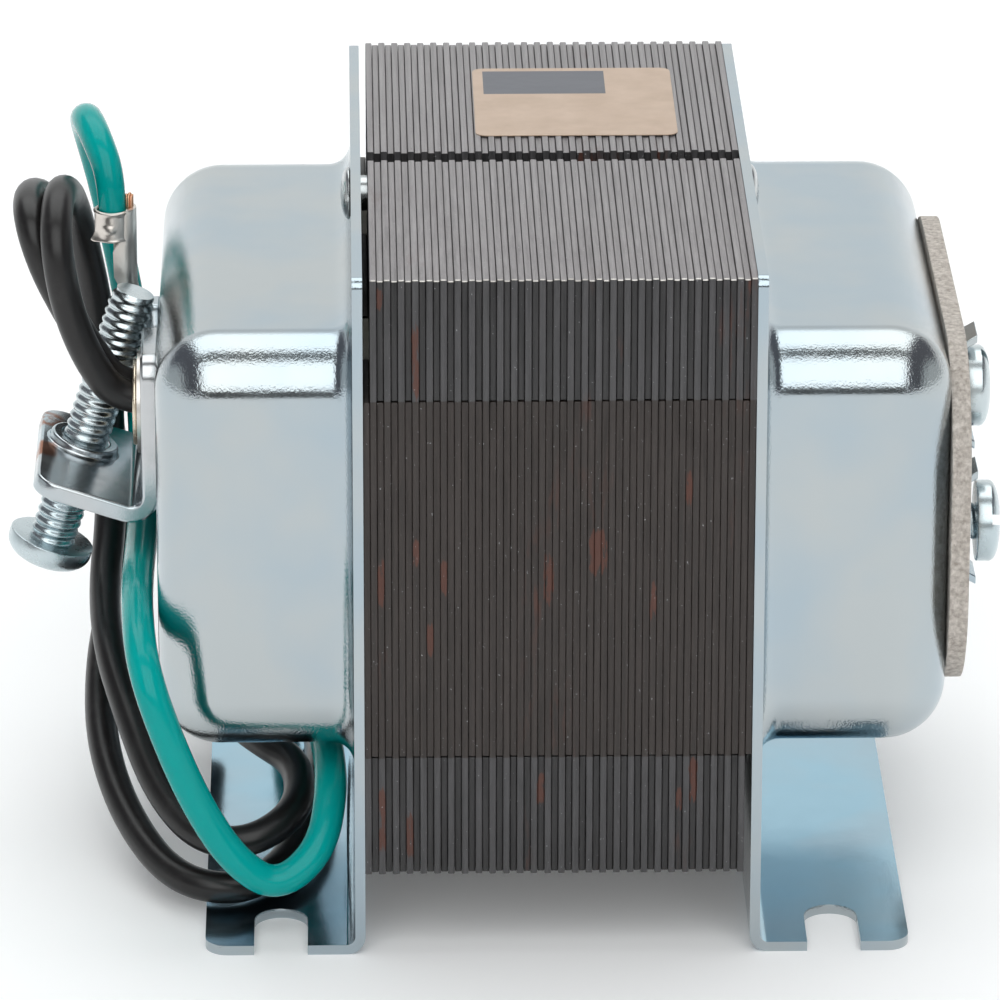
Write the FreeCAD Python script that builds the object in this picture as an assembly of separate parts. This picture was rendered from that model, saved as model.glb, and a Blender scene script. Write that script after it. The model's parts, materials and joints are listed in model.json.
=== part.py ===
import FreeCAD, Part
import math
import os

# Doorbell transformer: a laminated core between two drawn end bells that also
# form the feet, a knockout clamp with the primary leads on the left, and a
# terminal board with the secondary screws on the right.
# Millimetres. X runs from the clamp to the terminals, Y from front to back,
# Z up from the underside of the feet.

V = FreeCAD.Vector

# Laminated core
leg = 11.1125            # width of an outer leg; every other outline size of a sheet follows it
sheet_thick = 0.607
sheet_count = 56
edge_step = 0.12         # how far every second sheet edge stands back
notch_width = 2.4        # stacking notch across the middle of the yokes
notch_depth = 1.0

# Rivets through the yokes
rivet_radius = 1.6
rivet_clear = 0.1
rivet_gap = 0.53         # from the bells' rounding to the rivet's head
rivet_head_radius = 2.4
rivet_head_height = 0.9

# End bells, one sheet each
bell_sheet = 0.9
foot_drop = 7.7          # from the core's underside to the floor
foot_reach = 14.2        # from the core's side to the foot's outer edge
foot_bend = 0.8          # inside radius
foot_corner = 2.0
slot_width = 4.75
slot_depth = 8.0
slot_offset = 7.5        # from the core's side to the middle of a slot
flange_corner = 1.0
flange_side = 3.9375     # flat flange before and behind the box
flange_top = 6.38125     # above and below it
box_corner = 5.5
box_blend = 2.0          # between the box and the flange
primary_depth = 18.2
secondary_depth = 17.7

# Bobbin and windings
bobbin_wall = 1.0
bobbin_clear = 0.25
winding_corner = 3.5
winding_margin = 0.8     # from a winding's outer face to the edge of the bobbin's flanges
wrap_thick = 0.3
secondary_share = 0.4    # of the winding height

# Knockout clamp
clamp_sheet = 1.6
clamp_half_width = 9.6
clamp_corner_drop = 10.2     # outer corner of the bend below the eyelet's axis
clamp_plate = 16.55          # from that corner up to the plate's top
clamp_leg = 12.1             # from that corner out to the leg's end
clamp_tilt = 18.5            # degrees, leg above level and screw off upright
clamp_bend = 1.0             # inside radius
clamp_round = 2.2
clamp_notch = 2.9            # radius of the screw's relief in the plate's top
clamp_notch_rise = 0.3
collar_radius = 3.2
collar_height = 0.8

# Clamp screw
clamp_screw_y = 2.4
clamp_screw_radius = 2.1
clamp_screw_inset = 8.1      # from the bend's outer corner along the leg
clamp_screw_below = 8.6      # from the middle of the leg's thickness to the head
clamp_screw_above = 16.4     # and to the tip
clamp_head_radius = 3.9
clamp_head_height = 2.6
thread_clear = 0.05

# Lead eyelet
eyelet_drop = 13.88125       # from the box's top to the eyelet's axis
eyelet_y = -2.8
eyelet_bore = 3.2
eyelet_wall = 0.3
eyelet_flange = 3.9
eyelet_lip = 0.4
hole_clear = 0.05

# Ground lug, crimped on the ground lead
lug_sheet = 0.4
lug_ring = 4.6
lug_arm = 2.4                # width of the strip from the ring to the neck
lug_y = 6.6
lug_wing_low = 6.7           # above the eyelet's axis, as the next three
lug_wing_high = 13.9
crimp_low = 11.7
crimp_high = 14.7
lug_wing = 1.7               # depth of the neck's folded sides
crimp_radius = 1.5
crimp_wall = 0.35
crimp_x = 4.3                # from the bell's end wall to the crimp's axis
strand_radius = 0.38

# Leads
lead_radius = 1.45
lead_gap = 0.08
tube_sides = 10              # of the leads' and tails' plain sections, as large as the round ones
lead_rise = 0.8              # of the black leads above the eyelet's axis
lead_run = 3.7               # straight out of the bell or the crimp

# Terminal board
board_thick = 1.7
board_half_depth = 25.4
board_half_height = 16.2
board_corner = 11.0
board_rivet_radius = 1.4
board_rivet_head = 2.3
board_rivet_lip = 0.4
board_rivet_inset = 0.3      # from the bell's rounding to the rivet's head

# Terminals
terminal_y = 2.2
terminal_z = 5.75
terminal_drop = 1.0          # the pair's middle below the board's middle
terminal_hole = 4.6          # radius of the bell's clearance holes
plate_thick = 0.8
plate_half_width = 3.9
plate_half_height = 4.6
ear_half_width = 1.9
ear_length = 1.9
ear_lean = 30.0              # degrees off square to the plate
tube_radius = 2.8            # threaded tube of a terminal plate, through the board
tube_length = 2.8
terminal_screw_radius = 1.75
terminal_screw_length = 8.0
terminal_head_radius = 3.7
terminal_head_height = 2.2
upper_screw_gap = 0.8        # the screws are backed off the plates
lower_screw_gap = 1.6
tail_radius = 0.6
tail_run = 3.0               # straight out of the winding

# Rating label, bare
label_length = 18.3
label_width = 19.6
label_thick = 0.1
label_x = 2.6
label_y = 15.2
label_corner = 1.0

# Worked out: core and bells
stack = sheet_thick * sheet_count
side = stack / 2
core_z = foot_drop
core_top = core_z + 5 * leg
core_half_depth = 3 * leg
middle_z = core_z + 2.5 * leg
primary_wall = side + primary_depth
secondary_wall = side + secondary_depth
box_half_depth = core_half_depth - flange_side - box_blend
box_half_height = 2.5 * leg - flange_top - box_blend
rivet_inset = flange_top - rivet_gap - rivet_head_radius
rivet_heights = (core_z + rivet_inset, core_top - rivet_inset)

# Worked out: bobbin
bobbin_half_x = side + bobbin_clear + bobbin_wall
bobbin_half_y = leg + bobbin_clear + bobbin_wall
bobbin_rim_y = 2 * leg - bobbin_clear
bobbin_rim_x = bobbin_half_x + bobbin_rim_y - bobbin_half_y
bobbin_low = core_z + leg + bobbin_clear
bobbin_high = core_top - leg - bobbin_clear
divider = bobbin_low + bobbin_wall + (bobbin_high - bobbin_low - 3 * bobbin_wall) * secondary_share
secondary_span = (bobbin_low + bobbin_wall, divider)
primary_span = (divider + bobbin_wall, bobbin_high - bobbin_wall)
winding_half_x = bobbin_rim_x - winding_margin
winding_half_y = bobbin_rim_y - winding_margin

# Worked out: clamp, eyelet and lug
tilt = math.radians(clamp_tilt)
eyelet_height = 2.5 * leg + box_half_height - eyelet_drop
eyelet_z = core_z + eyelet_height
clamp_z = eyelet_z - clamp_corner_drop
leg_along = V(-math.cos(tilt), 0, math.sin(tilt))
leg_up = V(math.sin(tilt), 0, math.cos(tilt))
clamp_cross = V(-primary_wall, clamp_screw_y, clamp_z)
clamp_cross += leg_along * clamp_screw_inset + leg_up * (clamp_sheet / 2)
eyelet_outer = eyelet_bore + eyelet_wall
lug_x = -primary_wall - clamp_sheet - lug_sheet
lead_side = lead_radius + lead_gap / 2
lead_z = eyelet_z + lead_rise

# Worked out: board and terminals
board_outer = secondary_wall + board_thick
plate_outer = board_outer + plate_thick
board_rivet_y = box_half_depth - box_corner - board_rivet_head - board_rivet_inset
terminal_middle = middle_z - terminal_drop
terminals = ((terminal_y, terminal_middle + terminal_z), (-terminal_y, terminal_middle - terminal_z))
tail_side = terminal_screw_radius + thread_clear + tail_radius + hole_clear
tail_end = board_outer - tube_length

# Worked out: the middle of the length
clamp_reach = -clamp_cross.x + clamp_screw_below * math.sin(tilt) + clamp_head_radius * math.cos(tilt)
terminal_reach = plate_outer + lower_screw_gap + terminal_head_height
middle_x = (clamp_reach - terminal_reach) / 2

# Routes of the leads, from the core's middle in X and its underside in Z
near_route = [(-primary_wall, eyelet_y - lead_side, eyelet_height + lead_rise),
              (-primary_wall - lead_run, eyelet_y - lead_side, eyelet_height + lead_rise),
              (-41.2, -4.9, 37.6), (-42.8, -5.3, 41.6), (-43.8, -5.4, 45.8), (-44.3, -4.4, 50.2),
              (-44.0, 1.5, 52.2), (-43.3, 8.2, 49.4), (-42.4, 11.9, 44.0), (-41.3, 13.2, 37.4),
              (-40.5, 13.4, 30.4), (-40.3, 13.4, 23.4), (-40.2, 10.5, 17.0), (-40.8, 4.0, 12.6),
              (-40.2, -4.5, 10.0), (-38.2, -12.0, 6.6), (-35.6, -18.5, 2.0), (-32.0, -23.0, -0.8),
              (-27.4, -24.8, -0.8), (-22.8, -21.0, 0.8), (-22.8, -13.0, 2.0), (-26.6, -8.6, 2.6),
              (-30.2, -2.0, 3.0), (-32.0, 7.0, 0.8), (-31.4, 16.0, -2.6)]
far_route = [(-primary_wall, eyelet_y + lead_side, eyelet_height + lead_rise),
             (-primary_wall - lead_run, eyelet_y + lead_side, eyelet_height + lead_rise),
             (-41.3, -1.6, 37.7), (-43.5, -1.8, 41.8), (-45.5, -1.8, 46.0), (-46.8, -0.6, 50.2),
             (-46.9, 6.4, 50.4), (-45.3, 12.2, 47.4), (-43.9, 15.8, 42.2), (-42.6, 16.8, 36.2),
             (-41.4, 16.8, 29.8), (-40.2, 16.8, 22.6), (-39.8, 14.4, 15.4), (-40.2, 9.0, 9.4),
             (-41.2, 1.0, 5.6), (-40.9, -7.4, 1.6), (-38.4, -15.6, -2.2), (-34.2, -23.0, -4.8),
             (-28.4, -25.2, -5.2), (-24.2, -19.8, -5.0), (-21.9, -12.0, -3.6), (-21.0, -3.5, -2.4),
             (-21.0, 5.0, -3.2), (-21.6, 13.5, -5.0)]
green_route = [(-primary_wall - crimp_x, lug_y, eyelet_height + crimp_high),
               (-primary_wall - crimp_x, lug_y, eyelet_height + crimp_high + lead_run), (-40.8, 9.0, 55.4),
               (-42.0, 14.0, 56.4), (-42.1, 19.4, 53.2), (-41.0, 22.0, 47.0), (-39.4, 21.4, 39.6),
               (-37.8, 18.6, 31.4), (-37.1, 14.2, 24.4), (-37.0, 6.6, 19.9), (-37.1, -2.6, 19.4),
               (-37.2, -12.2, 20.2), (-37.1, -21.5, 20.6), (-36.4, -30.3, 18.6), (-34.4, -31.2, 12.4),
               (-31.8, -31.0, 5.8), (-28.6, -31.0, 0.4), (-24.8, -30.8, -2.4), (-20.9, -29.4, 0.6),
               (-19.9, -25.0, 4.4), (-20.2, -17.5, 5.6), (-21.4, -8.0, 5.4), (-22.6, 2.0, 4.2),
               (-23.6, 11.0, 0.4), (-24.4, 19.0, -4.0)]


def save(name, *solids):
    """Writes the solids of one node, moved so that the box's middle is at X 0."""
    shape = solids[0] if len(solids) == 1 else Part.makeCompound(list(solids))
    shape = shape.copy()
    shape.translate(V(middle_x, 0, 0))
    shape.exportStep("parts/" + name + ".step")
    print(name, len(shape.Solids), round(shape.Volume, 2), shape.isValid())


def turned(profile, centre, direction):
    """Solid of revolution from (radius, height) points, stood on centre along direction."""
    points = [V(r, 0, h) for r, h in profile]
    face = Part.Face(Part.makePolygon(points + points[:1]))
    solid = face.revolve(V(0, 0, 0), V(0, 0, 1), 360)
    solid.Placement = FreeCAD.Placement(centre, FreeCAD.Rotation(V(0, 0, 1), direction))
    return solid


def slab(points, x, thick):
    """Plate square to X from (y, z) points."""
    corners = [V(x, y, z) for y, z in points]
    return Part.Face(Part.makePolygon(corners + corners[:1])).extrude(V(thick, 0, 0))


def along(shape, axis):
    """Straight edges of a shape that run along the axis of that index."""
    return [e for e in shape.Edges if abs(e.tangentAt(e.FirstParameter)[axis]) > 0.999]


def hole_x(radius, y, z, x, length):
    """Cylinder along X."""
    return Part.makeCylinder(radius, length, V(x, y, z), V(1, 0, 0))


def tube(points, radius):
    """Rod along straight runs joined by tangent arcs; also gives its length and bends."""
    edges = []
    bends = []
    last = points[0]
    for before, here, after in zip(points, points[1:], points[2:]):
        back, ahead = before - here, after - here
        cut = 0.45 * min(back.Length, ahead.Length)
        half_turn = (math.pi - back.getAngle(ahead)) / 2
        back.normalize()
        ahead.normalize()
        bend = cut / math.tan(half_turn)
        bisector = back + ahead
        bisector.normalize()
        middle = here + bisector * (bend / math.cos(half_turn) - bend)
        start, end = here + back * cut, here + ahead * cut
        edges.append(Part.LineSegment(last, start).toShape())
        edges.append(Part.Arc(start, middle, end).toShape())
        bends.append(round(bend, 1))
        last = end
    edges.append(Part.LineSegment(last, points[-1]).toShape())
    path = Part.Wire(edges)
    turn = 2 * math.pi / tube_sides
    even = radius * math.sqrt(turn / math.sin(turn))
    corners = [V(even * math.cos(turn * i), even * math.sin(turn * i), 0) for i in range(tube_sides)]
    section = Part.Face(Part.makePolygon(corners + corners[:1]))
    section.Placement = FreeCAD.Placement(points[0], FreeCAD.Rotation(V(0, 0, 1), points[1] - points[0]))
    return path.makePipe(section), path.Length, bends


def lead(name, route):
    """One lead, with its bends and its volume against section times length."""
    points = [V(x, y, core_z + z) for x, y, z in route]
    rod, length, bends = tube(points, lead_radius)
    even = rod.Volume / (math.pi * lead_radius ** 2 * length)
    print(name, "length", round(length, 1), "tightest", min(bends), "bends", bends, "volume", round(even, 4))
    save(name, rod)


def sheet_parts(index):
    """One E sheet and its I sheet; every second pair is turned over."""
    x = -side + index * sheet_thick
    low, high = core_z, core_top
    over = index % 2 == 1
    back = (lambda z: low + high - z) if over else (lambda z: z)
    half = core_half_depth - (0 if over else edge_step / 2)
    notch = notch_width / 2
    outline = [(-half, low), (-notch, low), (-notch, low + notch_depth), (notch, low + notch_depth),
               (notch, low), (half, low), (half, high - leg), (2 * leg, high - leg),
               (2 * leg, low + leg), (leg, low + leg), (leg, high - leg), (-leg, high - leg),
               (-leg, low + leg), (-2 * leg, low + leg), (-2 * leg, high - leg), (-half, high - leg)]
    sheets = [slab([(y, back(z)) for y, z in outline], x, sheet_thick)]
    if 0 < index < sheet_count - 1:
        half = core_half_depth - edge_step
        high = high - edge_step
        bar = [(-half, core_top - leg), (half, core_top - leg), (half, high), (notch, high),
               (notch, high - notch_depth), (-notch, high - notch_depth), (-notch, high), (-half, high)]
        sheets.append(slab([(y, back(z)) for y, z in bar], x, sheet_thick))
    return sheets


def laminated_core():
    """The bonded stack, every sheet's edge standing a little in or out."""
    sheets = [s for index in range(sheet_count) for s in sheet_parts(index)]
    core = sheets[0].multiFuse(sheets[1:]).removeSplitter()
    for z in rivet_heights:
        core = core.cut(hole_x(rivet_radius + rivet_clear, 0, z, -side - 1, stack + 2))
    return core


def core_rivets():
    """Two solid rivets, headed over on the bells' flanges."""
    shank = stack + 2 * bell_sheet
    r, head, high = rivet_radius, rivet_head_radius, rivet_head_height
    profile = [(0, -high), (head * 0.7, -high), (head, 0), (r, 0), (r, shank), (head, shank),
               (head * 0.7, shank + high), (0, shank + high)]
    return [turned(profile, V(-shank / 2, 0, z), V(1, 0, 0)) for z in rivet_heights]


def drawn_box(depth, inset):
    """The bell's drawn box, or with an inset its inside, from the core's side outwards."""
    half_y, half_z = box_half_depth - inset, box_half_height - inset
    box = Part.makeBox(depth - inset, 2 * half_y, 2 * half_z, V(0, -half_y, middle_z - half_z))
    edges = [e for e in box.Edges if max(v.X for v in e.Vertexes) > 1]
    return box.makeFillet(box_corner - inset, edges)


def foot():
    """Flange beside the core, bend and foot with its open slots."""
    outer = foot_bend + bell_sheet
    wide = 2 * core_half_depth
    upright = Part.makeBox(bell_sheet, wide, core_top - outer, V(0, -core_half_depth, outer))
    tops = [e for e in along(upright, 0) if e.Vertexes[0].Z > core_top - flange_corner]
    upright = upright.makeFillet(flange_corner, tops)
    middle = V(outer, -core_half_depth, outer)
    bend = Part.makeCylinder(outer, wide, middle, V(0, 1, 0))
    bend = bend.cut(Part.makeCylinder(foot_bend, wide, middle, V(0, 1, 0)))
    bend = bend.common(Part.makeBox(outer, wide, outer, V(0, -core_half_depth, 0)))
    flat = Part.makeBox(foot_reach - outer, wide, bell_sheet, V(outer, -core_half_depth, 0))
    flat = flat.makeFillet(foot_corner, [e for e in along(flat, 2) if e.Vertexes[0].X > outer + 1])
    for end in (-1, 1):
        y = end * (core_half_depth - slot_depth + slot_width / 2)
        flat = flat.cut(Part.makeCylinder(slot_width / 2, 3 * bell_sheet, V(slot_offset, y, -bell_sheet)))
        mouth = Part.makeBox(slot_width, slot_depth, 3 * bell_sheet,
                             V(slot_offset - slot_width / 2, min(y, y + end * slot_depth), -bell_sheet))
        flat = flat.cut(mouth)
    return upright.fuse([bend, flat]).removeSplitter()


def bell(depth, holes):
    """A bell on the right-hand side of a core whose side is at X 0, with its holes cut."""
    shell = foot().fuse(drawn_box(depth, 0)).removeSplitter()
    ring = [e for e in shell.Edges
            if all(abs(v.X - bell_sheet) < 1e-4 for v in e.Vertexes)
            and abs(e.CenterOfMass.y) < box_half_depth + box_blend / 2
            and abs(e.CenterOfMass.z - middle_z) < box_half_height + box_blend / 2]
    shell = shell.makeFillet(box_blend, ring)
    shell = shell.cut(drawn_box(depth, bell_sheet))
    for z in rivet_heights:
        holes = holes + [hole_x(rivet_radius + rivet_clear, 0, z, -1, bell_sheet + 2)]
    return shell.cut(Part.makeCompound(holes))


def primary_end_bell():
    """Left bell, with the lead hole."""
    eyelet_hole = hole_x(eyelet_outer + hole_clear, eyelet_y, eyelet_z, primary_depth - 2 * bell_sheet,
                         3 * bell_sheet)
    shell = bell(primary_depth, [eyelet_hole]).mirror(V(0, 0, 0), V(1, 0, 0))
    shell.translate(V(-side, 0, 0))
    return shell


def secondary_end_bell():
    """Right bell, with clearance holes for the terminals and holes for the board's rivets."""
    before, through = secondary_depth - 2 * bell_sheet, 3 * bell_sheet
    holes = [hole_x(terminal_hole, y, z, before, through) for y, z in terminals]
    holes += [hole_x(board_rivet_radius + hole_clear, y, middle_z, before, through)
              for y in (-board_rivet_y, board_rivet_y)]
    shell = bell(secondary_depth, holes)
    shell.translate(V(side, 0, 0))
    return shell


def ring_block(half_x, half_y, corner, low, high, inner_x, inner_y):
    """Upright block with rounded corners and a square hole."""
    block = Part.makeBox(2 * half_x, 2 * half_y, high - low, V(-half_x, -half_y, low))
    block = block.makeFillet(corner, along(block, 2))
    return block.cut(Part.makeBox(2 * inner_x, 2 * inner_y, high - low + 2, V(-inner_x, -inner_y, low - 1)))


def bobbin():
    """Moulded bobbin with a divider between the two windings."""
    inner_x, inner_y = bobbin_half_x - bobbin_wall, bobbin_half_y - bobbin_wall
    body = ring_block(bobbin_half_x, bobbin_half_y, bobbin_wall, bobbin_low, bobbin_high, inner_x, inner_y)
    rims = [ring_block(bobbin_rim_x, bobbin_rim_y, bobbin_wall, z, z + bobbin_wall, inner_x, inner_y)
            for z in (bobbin_low, divider, bobbin_high - bobbin_wall)]
    return body.fuse(rims).removeSplitter()


def winding(span):
    """Wound wire, as one block."""
    return ring_block(winding_half_x - wrap_thick, winding_half_y - wrap_thick, winding_corner,
                      span[0], span[1], bobbin_half_x, bobbin_half_y)


def wrap(span):
    """Insulating tape round one winding."""
    outer = ring_block(winding_half_x, winding_half_y, winding_corner + wrap_thick,
                       span[0], span[1], bobbin_half_x, bobbin_half_y)
    return outer.cut(winding(span))


def clamp_profile():
    """Bracket's section in XZ: plate against the bell, bend, leg out and up."""
    corner = V(-primary_wall, 0, clamp_z)
    up = V(0, 0, 1)
    across = V(-clamp_sheet, 0, 0)
    outer = clamp_bend + clamp_sheet
    reach = math.tan((math.pi / 2 + tilt) / 2)
    inside = corner + across + up * (clamp_sheet * reach)
    top = corner + up * clamp_plate
    end = corner + leg_along * clamp_leg
    end_top = end + leg_up * clamp_sheet
    start_out, end_out = corner + up * (outer * reach), corner + leg_along * (outer * reach)
    start_in, end_in = inside + up * (clamp_bend * reach), inside + leg_along * (clamp_bend * reach)
    centre = start_in + V(-clamp_bend, 0, 0)
    mid = start_in + end_in - centre * 2
    mid.normalize()
    lines = [Part.LineSegment(top, start_out), Part.Arc(start_out, centre + mid * outer, end_out),
             Part.LineSegment(end_out, end), Part.LineSegment(end, end_top),
             Part.LineSegment(end_top, end_in), Part.Arc(end_in, centre + mid * clamp_bend, start_in),
             Part.LineSegment(start_in, top + across), Part.LineSegment(top + across, top)]
    return Part.Face(Part.Wire([line.toShape() for line in lines]))


def clamp_bracket():
    """Folded strip that hooks into a box's knockout."""
    face = clamp_profile()
    face.translate(V(0, -clamp_half_width, 0))
    strip = face.extrude(V(0, 2 * clamp_half_width, 0))
    top = clamp_z + clamp_plate
    leg_end = -primary_wall + leg_along.x * clamp_leg * 0.9
    corners = [e for e in strip.Edges if e.Length < clamp_sheet * 1.01
               and (e.CenterOfMass.z > top - 1e-4 or e.CenterOfMass.x < leg_end)]
    strip = strip.makeFillet(clamp_round, corners)
    before, through = -primary_wall - clamp_sheet - 1, clamp_sheet + 2
    strip = strip.cut(hole_x(clamp_notch, clamp_screw_y, top + clamp_notch_rise, before, through))
    strip = strip.cut(hole_x(eyelet_outer + hole_clear, eyelet_y, eyelet_z, before, through))
    collar = Part.makeCylinder(collar_radius, clamp_sheet / 2 + collar_height, clamp_cross, leg_up)
    strip = strip.fuse(collar).removeSplitter()
    reach = clamp_sheet + collar_height + 1
    low = clamp_cross - leg_up * reach
    return strip.cut(Part.makeCylinder(clamp_screw_radius + thread_clear, 2 * reach, low, leg_up))


def screw(radius, length, head_radius, head_height, centre, direction):
    """Pan-head screw with a cross recess; centre is under the head, direction runs to the tip."""
    bevel = radius * 0.2
    h, r = head_height, head_radius
    profile = [(0, -h), (r * 0.7, -h), (r, -h * 0.5), (r, 0), (radius, 0),
               (radius, length - bevel), (radius - bevel, length), (0, length)]
    solid = turned(profile, V(0, 0, 0), V(0, 0, 1))
    for wide, long in ((r * 0.24, r * 1.0), (r * 1.0, r * 0.24)):
        solid = solid.cut(Part.makeBox(wide, long, h * 0.5, V(-wide / 2, -long / 2, -h)))
    solid.Placement = FreeCAD.Placement(centre, FreeCAD.Rotation(V(0, 0, 1), direction))
    return solid


def clamp_screw():
    """Screw that closes the clamp on the knockout's wall."""
    return screw(clamp_screw_radius, clamp_screw_below + clamp_screw_above, clamp_head_radius,
                 clamp_head_height, clamp_cross - leg_up * clamp_screw_below, leg_up)


def lead_eyelet():
    """Eyelet that lines the lead hole and clinches bell, bracket and lug."""
    grip = bell_sheet + clamp_sheet + lug_sheet
    profile = [(eyelet_bore, -eyelet_lip), (eyelet_flange, -eyelet_lip), (eyelet_flange, 0),
               (eyelet_outer, 0), (eyelet_outer, grip), (eyelet_flange, grip),
               (eyelet_flange, grip + eyelet_lip), (eyelet_bore, grip + eyelet_lip)]
    return turned(profile, V(lug_x, eyelet_y, eyelet_z), V(1, 0, 0))


def ground_lug():
    """Flat lug under the eyelet; its neck passes behind the screw, folds up and holds the crimp."""
    half = lug_arm / 2
    low, high = eyelet_z + lug_wing_low, eyelet_z + lug_wing_high
    ring = hole_x(lug_ring, eyelet_y, eyelet_z, lug_x, lug_sheet)
    arm = slab([(eyelet_y, eyelet_z), (lug_y + half, eyelet_z), (lug_y + half, high), (lug_y - half, high),
                (lug_y - half, eyelet_z + lug_arm), (eyelet_y, eyelet_z + lug_arm)], lug_x, lug_sheet)
    wings = [Part.makeBox(lug_wing, lug_sheet, high - low, V(lug_x + lug_sheet - lug_wing, y, low))
             for y in (lug_y - half, lug_y + half - lug_sheet)]
    axis = V(-primary_wall - crimp_x, lug_y, eyelet_z + crimp_low)
    crimp = Part.makeCylinder(crimp_radius, crimp_high - crimp_low, axis)
    lug = ring.fuse([arm, crimp] + wings).removeSplitter()
    lug = lug.cut(Part.makeCylinder(crimp_radius - crimp_wall, crimp_high - crimp_low + 2, axis - V(0, 0, 1)))
    return lug.cut(hole_x(eyelet_outer + hole_clear, eyelet_y, eyelet_z, lug_x - 1, lug_sheet + 2))


def ground_strand():
    """Stripped end of the ground lead: inside the crimp, and the wires' tips above the neck."""
    inside = Part.makeCylinder(crimp_radius - crimp_wall - hole_clear, crimp_high - crimp_low,
                               V(-primary_wall - crimp_x, lug_y, eyelet_z + crimp_low))
    tips = Part.makeCylinder(strand_radius, crimp_high - crimp_low,
                             V(lug_x - strand_radius, lug_y, eyelet_z + lug_wing_high - 1))
    return [inside, tips]


def terminal_board():
    """Fibre board over the right bell's end wall."""
    board = Part.makeBox(board_thick, 2 * board_half_depth, 2 * board_half_height,
                         V(secondary_wall, -board_half_depth, middle_z - board_half_height))
    board = board.makeFillet(board_corner, along(board, 0))
    before, through = secondary_wall - 1, board_thick + 2
    for y, z in terminals:
        board = board.cut(hole_x(tube_radius + hole_clear, y, z, before, through))
    for y in (-board_rivet_y, board_rivet_y):
        board = board.cut(hole_x(board_rivet_radius + hole_clear, y, middle_z, before, through))
    return board


def board_rivets():
    """Two tubular rivets that hold the board to the bell."""
    grip = bell_sheet + board_thick
    r, head, lip = board_rivet_radius, board_rivet_head, board_rivet_lip
    profile = [(r * 0.6, -lip), (head, -lip), (head, 0), (r, 0), (r, grip), (head, grip),
               (head, grip + lip), (r * 0.6, grip + lip)]
    return [turned(profile, V(secondary_wall - bell_sheet, y, middle_z), V(1, 0, 0))
            for y in (-board_rivet_y, board_rivet_y)]


def terminal_plate(y, z):
    """Plate with an ear at each end and a threaded tube through the board."""
    plate = Part.makeBox(plate_thick, 2 * plate_half_width, 2 * plate_half_height,
                         V(board_outer, y - plate_half_width, z - plate_half_height))
    lean = math.radians(ear_lean)
    pieces = [Part.makeCylinder(tube_radius, tube_length, V(board_outer, y, z), V(-1, 0, 0))]
    for end in (-1, 1):
        foot_in = z + end * (plate_half_height - plate_thick)
        foot_out = z + end * plate_half_height
        rise = ear_length * math.cos(lean)
        run = end * ear_length * math.sin(lean)
        face = [V(board_outer, 0, foot_in), V(board_outer, 0, foot_out),
                V(plate_outer, 0, foot_out), V(plate_outer + rise, 0, foot_out + run),
                V(plate_outer + rise, 0, foot_in + run), V(plate_outer, 0, foot_in)]
        ear = Part.Face(Part.makePolygon(face + face[:1]))
        ear.translate(V(0, y - ear_half_width, 0))
        pieces.append(ear.extrude(V(0, 2 * ear_half_width, 0)))
    plate = plate.fuse(pieces).removeSplitter()
    return plate.cut(hole_x(terminal_screw_radius + thread_clear, y, z, board_outer - tube_length - 1,
                            tube_length + plate_thick + 2))


def terminal_screws():
    """Two binding-head screws, backed off their plates."""
    return [screw(terminal_screw_radius, terminal_screw_length, terminal_head_radius, terminal_head_height,
                  V(plate_outer + gap, y, z), V(-1, 0, 0))
            for (y, z), gap in zip(terminals, (upper_screw_gap, lower_screw_gap))]


def secondary_tails():
    """Ends of the secondary winding, bent up or down to the terminals' tubes."""
    leave = (secondary_span[0] + secondary_span[1]) / 2
    tails = []
    for y, z in terminals:
        place = y + math.copysign(tail_side, y)
        points = [V(winding_half_x, place, leave), V(winding_half_x + tail_run, place, leave),
                  V(tail_end - tail_run, place, z), V(tail_end, place, z)]
        tails.append(tube(points, tail_radius)[0])
    return tails


def lead_splices():
    """Sleeved joints between the black leads and the primary winding."""
    return [hole_x(lead_radius, eyelet_y + y, lead_z, -primary_wall, primary_wall - winding_half_x)
            for y in (-lead_side, lead_side)]


def rating_label():
    """Bare label on the core's top."""
    label = Part.makeBox(label_length, label_width, label_thick,
                         V(label_x - label_length / 2, label_y - label_width / 2, core_top))
    return label.makeFillet(label_corner, along(label, 2))


os.makedirs("parts", exist_ok=True)
save("laminated_core", laminated_core())
save("core_rivets", *core_rivets())
save("primary_end_bell", primary_end_bell())
save("secondary_end_bell", secondary_end_bell())
save("bobbin", bobbin())
save("primary_winding", winding(primary_span))
save("secondary_winding", winding(secondary_span))
save("winding_wraps", wrap(primary_span), wrap(secondary_span))
save("clamp_bracket", clamp_bracket())
save("clamp_screw", clamp_screw())
save("lead_eyelet", lead_eyelet())
save("ground_lug", ground_lug())
save("ground_strand", *ground_strand())
save("terminal_board", terminal_board())
save("board_rivets", *board_rivets())
for label, place in zip(("upper", "lower"), terminals):
    save("terminal_plate_" + label, terminal_plate(*place))
save("terminal_screws", *terminal_screws())
save("secondary_tails", *secondary_tails())
save("lead_splices", *lead_splices())
save("rating_label", rating_label())
lead("black_lead_near", near_route)
lead("black_lead_far", far_route)
lead("green_lead", green_route)
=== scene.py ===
"""Looks of a doorbell transformer: laminated core, drawn end bells, knockout clamp, leads and terminals."""

import json
import logging
import math
from dataclasses import dataclass
from enum import Enum

import bmesh
import bpy
from mathutils import Matrix, Vector
from mathutils.geometry import delaunay_2d_cdt

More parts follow.
